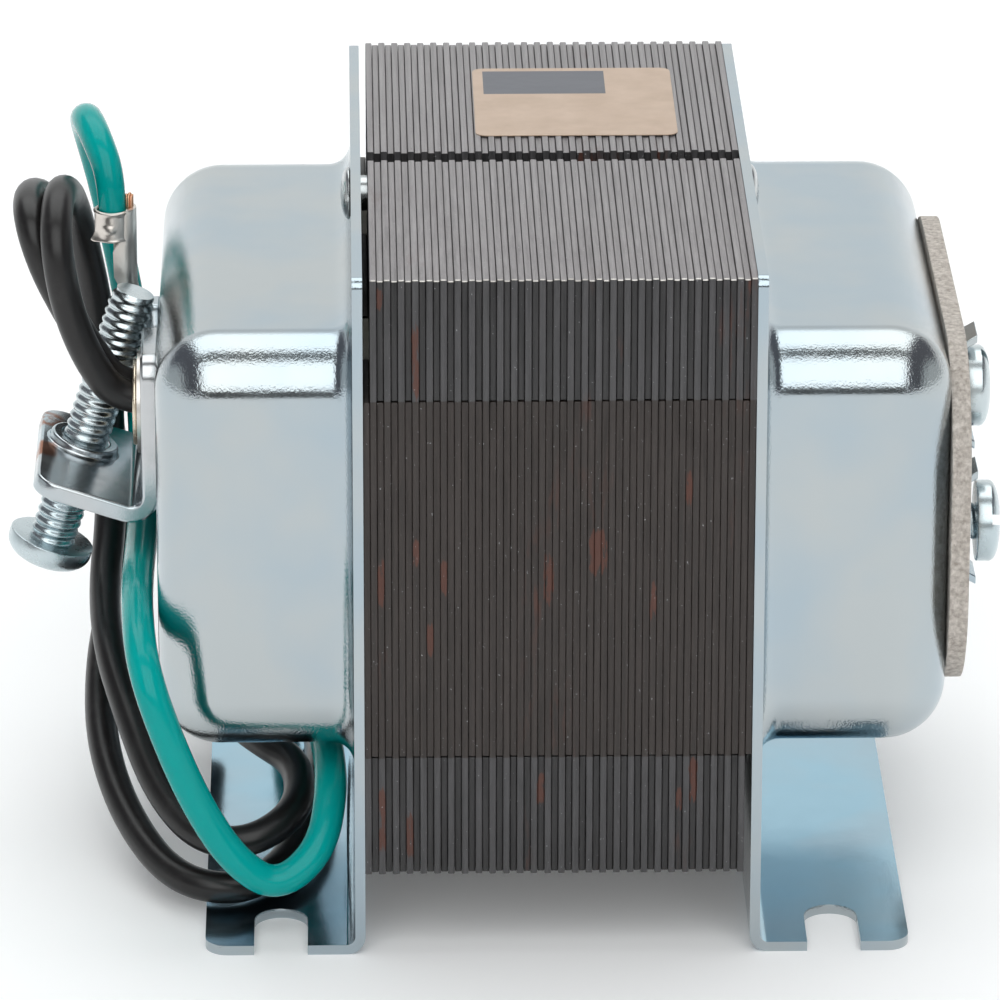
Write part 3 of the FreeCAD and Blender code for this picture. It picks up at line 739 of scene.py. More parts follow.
class LaminatedCore(Piece):
    """Interleaved E and I sheets, each a sheet of its own."""

    sizes = CoreSizes()

    def sheet(self, name: str, corners: list[Pair], material: bpy.types.Material) -> bpy.types.Object:
        """One sheet with rounded edges, lying at X 0.

        Args:
            name: of the object.
            corners: its outline in (y, z), in millimetres.
            material: what it is painted with.

        Returns:
            The sheet.
        """
        build = bmesh.new()
        face = build.faces.new([build.verts.new((0, y * MM, z * MM)) for y, z in corners])
        spread = bmesh.ops.extrude_face_region(build, geom=[face])
        moved = [v for v in spread["geom"] if isinstance(v, bmesh.types.BMVert)]
        bmesh.ops.translate(build, verts=moved, vec=((self.sizes.sheet - self.sizes.gap) * MM, 0, 0))
        bmesh.ops.recalc_face_normals(build, faces=build.faces)
        flat = {edge: abs(edge.verts[0].co.x - edge.verts[1].co.x) < 1e-7 for edge in build.edges}
        reach = 2.9 * self.sizes.leg * MM
        rims = [edge for edge, lies in flat.items() if lies]
        rims += [edge for edge, lies in flat.items() if not lies and abs(edge.verts[0].co.y) > reach]
        bmesh.ops.bevel(build, geom=rims, offset=self.sizes.edge_round * MM, segments=2, profile=0.5,
                        affect="EDGES")
        obj = self.mesh(name, build, 60.0)
        obj.data.materials.append(material)
        return obj

    def outlines(self) -> dict[str, list[Pair]]:
        """Outlines of both sheets about the core's middle and underside.

        Returns:
            Those of the E sheet, whose yoke lies below, and of the I sheet, in millimetres.
        """
        s = self.sizes
        leg, half, high, notch = s.leg, 3 * s.leg, 5 * s.leg, s.notch_width / 2
        tip, shoulder = half - s.back_step / 2, 4 * leg - s.joint
        e_sheet = [(-half, 0), (-notch, 0), (-notch, s.notch_depth), (notch, s.notch_depth), (notch, 0),
                   (half, 0), (half, leg), (tip, leg + s.back_rise), (tip, shoulder), (2 * leg, shoulder),
                   (2 * leg, leg), (leg, leg), (leg, shoulder), (-leg, shoulder), (-leg, leg),
                   (-2 * leg, leg), (-2 * leg, shoulder), (-tip, shoulder), (-tip, leg + s.back_rise),
                   (-half, leg)]
        edge, top, groove = half - s.back_step, high - s.back_step, high - s.notch_depth
        i_sheet = [(-edge, 4 * leg), (edge, 4 * leg), (edge, top), (notch, top), (notch, groove),
                   (-notch, groove), (-notch, top), (-edge, top)]
        return {"e": e_sheet, "i": i_sheet}

    def stack_tree(self) -> bpy.types.GeometryNodeTree:
        """Geometry nodes that repeat a sheet along X with a little scatter.

        Returns:
            The tree, with named inputs for the sheet, its count, pitch, scatter, seed and material.
        """
        tree = bpy.data.node_groups.new("sheet_stack", "GeometryNodeTree")
        inputs = {"Geometry": "Geometry", "Sheet": "Object", "Count": "Int", "Pitch": "Float",
                  "Scatter": "Float", "Seed": "Int", "Material": "Material"}
        for name, kind in inputs.items():
            tree.interface.new_socket(name, in_out="INPUT", socket_type=f"NodeSocket{kind}")
        tree.interface.new_socket("Geometry", in_out="OUTPUT", socket_type="NodeSocketGeometry")
        graph = Graph(tree)
        given = graph.add("NodeGroupInput").outputs
        step = graph.add("ShaderNodeCombineXYZ", {"X": given["Pitch"]}).outputs[0]
        counted = {"Count": given["Count"], "Offset": step}
        line = graph.add("GeometryNodeMeshLine", counted, mode="OFFSET")
        low = graph.math("MULTIPLY", given["Scatter"], -1.0)
        ends = [graph.add("ShaderNodeCombineXYZ", {"Y": value, "Z": value}).outputs[0]
                for value in (low, given["Scatter"])]
        spread = {0: ends[0], 1: ends[1], "Seed": given["Seed"]}
        jitter = graph.add("FunctionNodeRandomValue", spread, data_type="FLOAT_VECTOR")
        shifted = {"Geometry": line.outputs[0], "Offset": jitter.outputs[0]}
        moved = graph.add("GeometryNodeSetPosition", shifted)
        sheet = graph.add("GeometryNodeObjectInfo", {"Object": given["Sheet"]})
        copies = graph.add("GeometryNodeInstanceOnPoints",
                           {"Points": moved.outputs[0], "Instance": sheet.outputs["Geometry"]})
        real = graph.add("GeometryNodeRealizeInstances", {"Geometry": copies.outputs[0]})
        coat = {"Geometry": real.outputs[0], "Material": given["Material"]}
        painted = graph.add("GeometryNodeSetMaterial", coat)
        out = graph.add("NodeGroupOutput")
        tree.links.new(painted.outputs[0], out.inputs[0])
        return tree

    def stack(self, tree: bpy.types.GeometryNodeTree, name: str, sheet: bpy.types.Object, count: int,
              start: Point, material: bpy.types.Material, seed: int) -> bpy.types.Object:
        """One object of repeated sheets.

        Args:
            tree: the node group.
            name: the new object's name.
            sheet: the sheet that is repeated.
            count: how many.
            start: where the first lies, in metres.
            material: what it is painted with.
            seed: of the scatter.

        Returns:
            The stack as a plain mesh at the origin.
        """
        carrier = bpy.data.objects.new(name, bpy.data.meshes.new(name))
        bpy.context.scene.collection.objects.link(carrier)
        modifier = carrier.modifiers.new("stack", "NODES")
        modifier.node_group = tree
        values = {"Sheet": sheet, "Count": count, "Pitch": 2 * self.sizes.sheet * MM,
                  "Scatter": self.sizes.scatter * MM, "Seed": seed, "Material": material}
        for item in tree.interface.items_tree:
            if item.in_out == "INPUT" and item.name in values:
                modifier[item.identifier] = values[item.name]
        apply_modifiers(carrier)
        carrier.data.transform(Matrix.Translation(start))
        return carrier

    def build(self) -> None:
        """Stacks the sheets, every second pair turned over."""
        low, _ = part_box("laminated_core")
        s = self.sizes
        tree = self.stack_tree()
        flip = 5 * s.leg
        shapes = self.outlines()
        parts = []
        for turned in (False, True):
            for kind, outline in shapes.items():
                corners = [(y, flip - z) for y, z in outline] if turned else outline
                # The E sheets take the lighter copy and the set-back I sheets the darker one: painted light
                # and painted shade.
                paint = self.palette.sheet_proud_lit if kind == "e" else self.palette.sheet_back_shaded
                sheet = self.sheet(f"{kind}_sheet_{turned}", corners, paint)
                first, count = (1 if turned else 0), s.count // 2
                if kind == "i":
                    first, count = (1 if turned else 2), s.count // 2 - 1
                start = (low.x + (first * s.sheet + s.gap / 2) * MM, 0.0, low.z)
                seed = 7 + len(parts)
                parts.append(self.stack(tree, f"{kind}_stack_{turned}", sheet, count, start, paint, seed))
                bpy.data.objects.remove(sheet)
        core = join("core_sheets", parts)
        self.paint(core, low.z)
        self.finish(core, Slot.CORE, "laminated_core")

    def paint(self, core: bpy.types.Object, low: float) -> None:
        """Paints the top's edges paler as painted light, the legs between the yokes browner and the corners'
        burrs bright.

        Args:
            core: the joined sheets.
            low: height of the core's underside.
        """
        start = len(core.data.materials)
        for material in (self.palette.sheet_leg, self.palette.sheet_top_painted_light, self.palette.sheet_burr):
            core.data.materials.append(material)
        bottom, top = low + LEG, low + 4 * LEG
        crest = top + 0.5 * LEG
        # Faces pointing up on the top take the paler copy: painted light.
        for face in core.data.polygons:
            if abs(face.normal.y) > 0.3 and face.normal.z > 0.3 and face.center.z > crest:
                face.material_index = start + 2
            elif face.normal.z > 0.5 and face.center.z > crest:
                face.material_index = start + 1
            elif bottom < face.center.z < top:
                face.material_index = start


def join(name: str, objects: list[bpy.types.Object]) -> bpy.types.Object:
    """Joins objects at the origin into one.

    Args:
        name: of the joined object.
        objects: what it takes in, removed after.

    Returns:
        The joined object.
    """
    build = bmesh.new()
    paints: list[bpy.types.Material] = []
    for obj in objects:
        start = len(build.faces)
        build.from_mesh(obj.data)
        build.faces.ensure_lookup_table()
        slots = []
        for material in obj.data.materials:
            if material not in paints:
                paints.append(material)
            slots.append(paints.index(material))
        for face in build.faces[start:]:
            face.material_index = slots[face.material_index] if slots else 0
        bpy.data.objects.remove(obj)
    data = bpy.data.meshes.new(name)
    build.to_mesh(data)
    build.free()
    for material in paints:
        data.materials.append(material)
    joined = bpy.data.objects.new(name, data)
    bpy.context.scene.collection.objects.link(joined)
    return joined


@dataclass(frozen=True)
class BellSizes:
    """Sizes of an end bell, in millimetres, X counted from the core's side."""

    depth: float
    sheet: float = 0.9
    half_y: float = 27.4
    half_z: float = 19.4
    corner: float = 5.5
    blend: float = 2.0
    flange_corner: float = 1.0
    foot_reach: float = 14.2
    foot_bend: float = 0.8
    foot_corner: float = 2.0
    slot_width: float = 4.75
    slot_depth: float = 8.0
    slot_offset: float = 7.5


class EndBell(Piece):
    """A drawn bell with its flange and slotted foot, one sheet."""

    turns = 14
    blend_steps = 8
    margin = 0.6
    edge_round = 0.12

    def ring(self, x: float, half_y: float, half_z: float, corner: float, middle: float) -> list[Point]:
        """A rounded rectangle square to X, in millimetres.

        Args:
            x: where it lies.
            half_y: half its width.
            half_z: half its height.
            corner: its corners' radius.
            middle: height of its middle.

        Returns:
            Its points in turn.
        """
        points = []
        for quarter, (sy, sz) in enumerate(((1, 1), (-1, 1), (-1, -1), (1, -1))):
            centre = (sy * (half_y - corner), middle + sz * (half_z - corner))
            for y, z in arc(centre, corner, 90 * quarter, 90 * quarter + 90, self.turns):
                points.append((x, y, z))
        return points

    def fill(self, build: bmesh.types.BMesh, loops: list[list[Point]]) -> None:
        """Flat face square to X.

        Args:
            build: the mesh that gets it.
            loops: its rim, then the rims of its openings.
        """
        pair, faces = [], []
        for loop in loops:
            flat = [Vector(p[1:]) for p in loop]
            area = sum(a.cross(b) for a, b in zip(flat, flat[1:] + flat[:1]))
            faces.append(list(range(len(pair), len(pair) + len(loop))))
            pair += flat if area > 0 else flat[::-1]
        verts, _, cells, _, _, owners = delaunay_2d_cdt(pair, [], faces, 1, 1e-6)
        made = [build.verts.new((loops[0][0][0], v.x, v.y)) for v in verts]
        for cell, owner in zip(cells, owners):
            if list(owner) == [0]:
                build.faces.new([made[i] for i in cell])

    def circle(self, x: float, y: float, z: float, radius: float) -> list[Point]:
        """A hole's rim square to X."""
        steps = 40
        return [(x, b, c) for b, c in arc((y, z), radius, 0, 360 - 360 / steps, steps - 1)]

    def skin(self, s: BellSizes, middle: float, top: float, depth_y: float, holes: list[Point],
             rivets: list[Point]) -> bmesh.types.BMesh:
        """The bell's outer side as one surface, in millimetres.

        Args:
            s: sizes.
            middle: height of the box's middle.
            top: height of the flange's upper edge.
            depth_y: half the flange's width.
            holes: (y, z, radius) in the end wall.
            rivets: (y, z, radius) in the flange.

        Returns:
            The surface.
        """
        build = bmesh.new()
        rings = []
        r = s.corner
        for i in range(self.turns + 1):
            t = math.radians(90 * i / self.turns)
            off = max(r * math.sin(t), 0.02)
            rings.append((s.depth - r + r * math.cos(t), s.half_y - r + off, s.half_z - r + off, off))
        rings.append((s.depth - r - 0.5, s.half_y, s.half_z, r))
        rings.append((s.sheet + s.blend + 0.5, s.half_y, s.half_z, r))
        for i in range(self.blend_steps + 1):
            t = math.radians(90 * i / self.blend_steps)
            off = s.blend * (1 - math.cos(t))
            rings.append((s.sheet + s.blend * (1 - math.sin(t)), s.half_y + off, s.half_z + off, r + off))
        rings.append((s.sheet, s.half_y + s.blend + 0.4, s.half_z + s.blend + 0.4, r + s.blend + 0.4))
        loops = [self.ring(x, y, z, c, middle) for x, y, z, c in rings]
        rows = [[build.verts.new(p) for p in loop] for loop in loops]
        for low, high in zip(rows, rows[1:]):
            for i in range(len(low)):
                j = (i + 1) % len(low)
                build.faces.new((low[i], low[j], high[j], high[i]))
        inner = self.ring(s.depth, s.half_y - r - self.margin, s.half_z - r - self.margin, 0.02, middle)
        self.fill(build, [loops[0], inner])
        self.fill(build, [inner] + [self.circle(s.depth, *hole) for hole in holes])
        bend = s.foot_bend + s.sheet
        outline = [(s.sheet, depth_y, bend), (s.sheet, depth_y, top - s.flange_corner)]
        c = s.flange_corner
        outline += [(s.sheet, y, z) for y, z in arc((depth_y - c, top - c), c, 0, 90, 5)][1:]
        outline += [(s.sheet, y, z) for y, z in arc((-depth_y + c, top - c), c, 90, 180, 5)]
        outline += [(s.sheet, -depth_y, bend)]
        self.fill(build, [outline, loops[-1]] + [self.circle(s.sheet, *rivet) for rivet in rivets])
        strip = [(bend - s.foot_bend * math.cos(t), bend - s.foot_bend * math.sin(t))
                 for t in (math.radians(90 * i / self.blend_steps) for i in range(self.blend_steps + 1))]
        sides = [[build.verts.new((x, y, z)) for y in (-depth_y, depth_y)] for x, z in strip]
        for low, high in zip(sides, sides[1:]):
            build.faces.new((low[0], low[1], high[1], high[0]))
        build.faces.new([build.verts.new(p) for p in self.foot_outline(s, depth_y)])
        bmesh.ops.remove_doubles(build, verts=build.verts, dist=0.004)
        bmesh.ops.recalc_face_normals(build, faces=build.faces)
        return build

    def foot_outline(self, s: BellSizes, depth_y: float) -> list[Point]:
        """The foot's plan, with two open slots and rounded outer corners.

        Args:
            s: sizes.
            depth_y: half the foot's width.

        Returns:
            Its points in turn, on the foot's upper side, in millimetres.
        """
        half = s.slot_width / 2
        seat = depth_y - s.slot_depth + half
        c = s.foot_corner
        side = [(s.slot_offset - half, depth_y)]
        side += arc((s.slot_offset, seat), half, 180, 360, 16)
        side += [(s.slot_offset + half, depth_y)]
        side += arc((s.foot_reach - c, depth_y - c), c, 90, 0, 8)
        plan = [(s.foot_bend + s.sheet, depth_y)] + side
        plan += [(x, -y) for x, y in reversed(plan)]
        return [(x, y, s.sheet) for x, y in plan]

    def make(self, name: str, node: str, s: BellSizes, out: int, holes: list[Point],
             rivets: list[Point]) -> bpy.types.Object:
        """Builds one bell.

        Args:
            name: the piece's name.
            node: the CAD node it stands for.
            s: sizes.
            out: 1 for the right end, -1 for the left.
            holes: (y, z, radius) in the end wall.
            rivets: (y, z, radius) in the flange.

        Returns:
            The finished piece.
        """
        low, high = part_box(node)
        core_low, core_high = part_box("laminated_core")
        middle = (core_low.z + core_high.z) / 2 / MM
        build = self.skin(s, middle, high.z / MM, high.y / MM, holes, rivets)
        start = low.x if out > 0 else high.x
        bmesh.ops.transform(build, matrix=Matrix.Diagonal((MM * out, MM, MM, 1)), verts=build.verts)
        bmesh.ops.translate(build, verts=build.verts, vec=(start, 0, 0))
        bmesh.ops.recalc_face_normals(build, faces=build.faces)
        build.normal_update()
        wall = max(build.faces, key=lambda f: f.calc_center_median().x * out)
        if wall.normal.x * out < 0:
            bmesh.ops.reverse_faces(build, faces=build.faces)
        obj = self.mesh(name, build, 30.0)
        solid = obj.modifiers.new("sheet", "SOLIDIFY")
        solid.thickness = s.sheet * MM
        solid.offset = -1.0
        solid.use_even_offset = True
        bevel = obj.modifiers.new("edges", "BEVEL")
        bevel.width = self.edge_round * MM
        bevel.segments = 2
        bevel.limit_method = "ANGLE"
        bevel.angle_limit = math.radians(60)
        apply_modifiers(obj)
        flat_faces_first(obj, 50.0)
        return self.finish(obj, Slot.ZINC, node)


@dataclass(frozen=True)
class ScrewSizes:
    """Sizes of a screw, in millimetres, and the share of its head's height that is domed."""

    radius: float
    pitch: float
    head_radius: float
    head_height: float
    dome: float
    length: float
    slot: float = 0.0


@dataclass(frozen=True)
class ClampSizes:
    """How the clamp's screw lies in its collar, in degrees and millimetres from its seat."""

    tilt: float = 18.5
    rim_below: float = 1.3
    tip_radius: float = 1.68
    collar: float = 9.15
    collar_ring: tuple[float, float, float] = (1.9, 2.6, 0.9)


@dataclass(frozen=True)
class RivetSizes:
    """Sizes of the core's rivets, in millimetres."""

    radius: float = 2.4
    tall: float = 0.9
    rim: float = 0.12
    shank: float = 1.6


@dataclass(frozen=True)
class BoardRivetSizes:
    """Sizes of the terminal board's tubular rivets, in millimetres."""

    head: float = 2.3
    bore: float = 0.84
    shank: float = 1.4
    lip: float = 0.4


@dataclass(frozen=True)
class EyeletSizes:
    """Sizes of the lead eyelet, in millimetres."""

    flange: float = 3.9
    bore: float = 3.2
    wall: float = 0.3
    lip: float = 0.4


CLAMP_SCREW = ScrewSizes(2.1, 0.88, 3.9, 2.6, 0.7, 25.0)
TERMINAL_SCREW = ScrewSizes(1.75, 0.8, 3.7, 2.2, 0.45, 8.0, 0.95)


def clamp_screw_seat() -> tuple[Vector, Vector]:
    """Where the clamp's screw sits in its CAD box.

    Returns:
        The middle of its seat, and its direction.
    """
    clamp = ClampSizes()
    tilt = math.radians(clamp.tilt)
    lean, rise = math.sin(tilt), math.cos(tilt)
    low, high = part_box("clamp_screw")
    x = low.x + (CLAMP_SCREW.head_radius * rise + clamp.rim_below * lean) * MM
    z = high.z - (CLAMP_SCREW.length * rise + clamp.tip_radius * lean) * MM
    return Vector((x, (low.y + high.y) / 2, z)), Vector((lean, 0, rise))


class Fasteners(Piece):
    """Threaded screws, rivets and the eyelet."""

    rivet = RivetSizes()
    board_rivet = BoardRivetSizes()
    eyelet = EyeletSizes()

    def thread(self, radius: float, pitch: float, low: float, high: float) -> bmesh.types.BMesh:
        """A threaded rod about Z with rounded crests, thinned at its tip.

        Args:
            radius: of the crests, in millimetres.
            pitch: of the thread.
            low: where it starts.
            high: where its tip is.

        Returns:
            The rod, in metres.
        """
        build = bmesh.new()
        steps, per_turn, cut = 44, 10, pitch * 0.24
        rows = []
        count = int((high - low) / pitch * per_turn)
        for row in range(count + 1):
            z = low + (high - low) * row / count
            tip = min(1.0, 0.86 + 0.14 * (high - z) / (1.3 * pitch))
            ring = []
            for i in range(steps):
                angle = TAU * i / steps
                shape = 0.5 - 0.5 * math.cos(TAU * z / pitch - angle)
                r = (radius - cut * (1 - shape ** 0.8)) * tip
                ring.append(build.verts.new((r * math.cos(angle), r * math.sin(angle), z)))
            rows.append(ring)
        for a, b in zip(rows, rows[1:]):
            for i in range(steps):
                j = (i + 1) % steps
                build.faces.new((a[i], a[j], b[j], b[i]))
        build.faces.new(rows[-1])
        build.faces.new(list(reversed(rows[0])))
        bmesh.ops.transform(build, matrix=Matrix.Scale(MM, 4), verts=build.verts)
        return build

    def head(self, radius: float, height: float, dome: float) -> bmesh.types.BMesh:
        """A pan head about Z.

        Args:
            radius: of the head, in millimetres.
            height: from the seat at 0 down to its top.
            dome: share of the height that is domed.

        Returns:
            The head, in metres.
        """
        rim, edge, steps = height * (1 - dome), 0.12, 14
        profile = [(0.0, 0.0), (radius * 0.5, 0.0), (radius - edge, 0.0)]
        profile += [(radius - edge + edge * math.sin(t), -edge + edge * math.cos(t))
                    for t in (math.radians(30 * i) for i in range(1, 4))]
        profile += [(radius * math.cos(t) ** 0.7, -rim - (height - rim) * math.sin(t))
                    for t in (math.radians(90 * i / steps) for i in range(steps))]
        return revolve(profile + [(0.0, -height)], 72)

    def recess(self, cap: bpy.types.Object, height: float, reach: float, slot: float) -> None:
        """Cuts a cross recess into a head's top.

        Args:
            cap: the head.
            height: of the head, in millimetres.
            reach: across the cross's arms.
            slot: width of a slot across the whole head, 0 for none.
        """
        arm, depth, taper = 0.95, 1.5, 0.45
        cuts = [(arm, reach, depth, taper), (reach, arm, depth, taper)]
        if slot:
            cuts.append((9.0, slot, 0.9, 1.0))
        for wide, long, deep, taper in cuts:
            build = bmesh.new()
            bmesh.ops.create_cube(build, size=1.0)
            for vert in build.verts:
                narrow = taper if vert.co.z > 0 else 1.0
                vert.co = Vector((vert.co.x * wide * narrow, vert.co.y * long * narrow,
                                  -height - 1.0 if vert.co.z < 0 else -height + deep)) * MM
            cutter = self.mesh("cutter", build)
            modifier = cap.modifiers.new("recess", "BOOLEAN")
            modifier.object = cutter
            modifier.solver = "EXACT"
            apply_modifiers(cap)
            bpy.data.objects.remove(cutter)

    def screw(self, name: str, s: ScrewSizes, origin: Vector, direction: Vector,
              turn: float) -> bpy.types.Object:
        """A threaded screw.

        Args:
            name: of the object.
            s: sizes.
            origin: the seat's middle, in metres.
            direction: from the seat to the tip.
            turn: of the recess, in radians.

        Returns:
            The screw as one object.
        """
        cap = self.mesh("cap", self.head(s.head_radius, s.head_height, s.dome))
        self.recess(cap, s.head_height, s.head_radius * 0.95, s.slot)
        rod = self.thread(s.radius, s.pitch, -0.2, s.length)
        rod.from_mesh(cap.data)
        bpy.data.objects.remove(cap)
        place_mesh(rod, origin, direction, turn)
        return self.mesh(name, rod, 40.0)

    def build_clamp_screw(self) -> None:
        """The clamp's long screw, head down."""
        seat, along = clamp_screw_seat()
        self.finish(self.screw("clamp_screw_cut", CLAMP_SCREW, seat, along, 0.3), Slot.SCREW, "clamp_screw")

    def build_terminal_screws(self) -> None:
        """Two binding-head screws, the upper one a little deeper."""
        low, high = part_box("terminal_screws")
        r, height, deeper = TERMINAL_SCREW.head_radius * MM, TERMINAL_SCREW.head_height * MM, 0.8 * MM
        heads = (((high.x - deeper, high.y - r, high.z - r), 75), ((high.x, low.y + r, low.z + r), 22))
        parts = []
        for index, ((x, y, z), turn) in enumerate(heads):
            parts.append(self.screw(f"terminal_{index}", TERMINAL_SCREW, Vector((x - height, y, z)),
                                    Vector((-1, 0, 0)), math.radians(turn)))
        for part in parts:
            part.data.materials.append(self.palette.by_slot[Slot.SCREW])
        self.finish(join("terminal_screws_cut", parts), Slot.SCREW, "terminal_screws")

    def build_rivets(self) -> None:
        """Domed heads of the core's rivets, on the flanges."""
        low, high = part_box("core_rivets")
        s = self.rivet
        length = (high.x - low.x) / MM - 2 * s.tall
        parts = []
        for z in (low.z + s.radius * MM, high.z - s.radius * MM):
            for x, out in ((low.x, -1), (high.x, 1)):
                profile = [(0.0, 0.0), (s.radius - 0.35, 0.0), (s.radius, s.rim)]
                profile += [(s.radius * math.cos(t), s.rim + (s.tall - s.rim) * math.sin(t))
                            for t in (math.radians(9 * i) for i in range(1, 10))]
                build = revolve(profile + [(0.0, s.tall)], 64)
                place_mesh(build, Vector((x - out * s.tall * MM, 0, z)), Vector((out, 0, 0)))
                parts.append(self.mesh("rivet", build, 50.0))
            build = revolve([(0.0, 0.0), (s.shank, 0.0), (s.shank, length), (0.0, length)], 32)
            place_mesh(build, Vector((low.x + s.tall * MM, 0, z)), Vector((1, 0, 0)))
            parts.append(self.mesh("shank", build, 50.0))
        self.finish(join("rivet_heads", parts), Slot.RIVET, "core_rivets")

    def build_board_rivets(self) -> None:
        """Tubular rivets of the terminal board."""
        low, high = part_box("board_rivets")
        s = self.board_rivet
        grip = (high.x - low.x) / MM - 2 * s.lip
        rim = [(s.head - 0.2 + 0.2 * math.cos(t), grip + s.lip * 0.5 + s.lip * 0.5 * math.sin(t))
               for t in (math.radians(a) for a in (-90, -45, 0, 45, 90))]
        profile = [(s.bore, -s.lip), (s.head, -s.lip), (s.head, 0), (s.shank, 0), (s.shank, grip)] + rim
        profile += [(s.bore + 0.3, grip + s.lip), (s.bore, grip + s.lip - 0.3), (s.bore, -s.lip)]
        parts = []
        for y in (low.y + s.head * MM, high.y - s.head * MM):
            build = revolve(profile, 48)
            place_mesh(build, Vector((low.x + s.lip * MM, y, (low.z + high.z) / 2)), Vector((1, 0, 0)))
            parts.append(self.mesh("board_rivet", build, 45.0))
        self.finish(join("board_rivet_heads", parts), Slot.RIVET, "board_rivets")

    def build_eyelet(self) -> None:
        """The rolled eyelet round the leads."""
        low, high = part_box("lead_eyelet")
        s = self.eyelet
        length = (high.x - low.x) / MM
        near = [(s.bore + 0.25 - 0.25 * math.cos(t), 0.25 - 0.25 * math.sin(t))
                for t in (math.radians(15 * i) for i in range(7))]
        near += [(s.flange - 0.2 + 0.2 * math.sin(t), 0.2 - 0.2 * math.cos(t))
                 for t in (math.radians(15 * i) for i in range(13))]
        far = [(s.bore + s.wall, s.lip), (s.bore + s.wall, length - s.lip), (s.flange, length - s.lip),
               (s.flange, length), (s.bore, length), near[0]]
        build = revolve(near + far, 96)
        place_mesh(build, Vector((low.x, (low.y + high.y) / 2, (low.z + high.z) / 2)), Vector((1, 0, 0)))
        self.finish(self.mesh("eyelet_rolled", build, 50.0), Slot.EYELET, "lead_eyelet")


class SheetParts(Piece):
    """Cut and folded sheet pieces that keep their CAD form, with their edges broken."""

    def __init__(self, palette: Palette, nodes: dict[str, bpy.types.Object]) -> None:
        """Takes the finishes and the CAD nodes by name."""
        super().__init__(palette)
        self.nodes = nodes

    def softened(self, name: str, node: str, slot: Slot, width: float, segments: int = 2,
                 added: bmesh.types.BMesh | None = None) -> bpy.types.Object:
        """A copy of a CAD piece with rounded edges.

        Args:
            name: the new piece's name.
            node: the CAD node.
            slot: its finish.
            width: of the rounding in millimetres.
            segments: of the rounding.
            added: a mesh that the piece takes in.

        Returns:
            The finished piece.
        """
        build = bmesh.new()
        build.from_mesh(self.nodes[node].data)
        bmesh.ops.remove_doubles(build, verts=build.verts, dist=1e-6)
        bmesh.ops.dissolve_limit(build, angle_limit=math.radians(1.0), verts=build.verts, edges=build.edges)
        obj = self.mesh(name, build, 30.0)
        bevel = obj.modifiers.new("edges", "BEVEL")
        bevel.width = width * MM
        bevel.segments = segments
        bevel.limit_method = "ANGLE"
        bevel.angle_limit = math.radians(40)
        bevel.use_clamp_overlap = True
        apply_modifiers(obj)
        if added is not None:
            added.from_mesh(obj.data)
            added.to_mesh(obj.data)
            added.free()
        flat_faces_first(obj, 50.0)
        return self.finish(obj, slot, node)

    def build(self) -> None:
        """Softens the clamp bracket, the terminal plates, the board and the label."""
        seat, along = clamp_screw_seat()
        bore, radius, height = ClampSizes.collar_ring
        ring = revolve([(bore, 0.0), (radius, 0.0), (radius, height), (bore, height), (bore, 0.0)], 64)
        place_mesh(ring, seat + along * ClampSizes.collar * MM, along)
        bracket = self.softened("clamp_bracket_folded", "clamp_bracket", Slot.ZINC, 0.3, 3, ring)
        bracket.data.materials[0] = self.palette.bracket
        self.softened("terminal_plate_upper_cut", "terminal_plate_upper", Slot.ZINC, 0.1)
        self.softened("terminal_plate_lower_cut", "terminal_plate_lower", Slot.ZINC, 0.1)
        self.softened("terminal_board_cut", "terminal_board", Slot.FIBRE, 0.12)
        self.softened("label_film", "rating_label", Slot.LABEL, 0.03)


@dataclass(frozen=True)
class LugSizes:
    """Sizes of the ground lug in millimetres, its heights above the eyelet's axis."""

    sheet: float = 0.4
    crimp_reach: float = 1.5
    flat_high: float = 6.6
    crimp_low: float = 12.4
    crimp_high: float = 15.2
    band_radius: float = 1.44
    band_wall: float = 0.34
    half_width: float = 1.2
    bend: float = 0.5
    strand_radius: float = 0.38
    strand_proud: float = 1.15
    bundle: float = 1.1
    lay: float = 0.245
    wire: float = 0.135


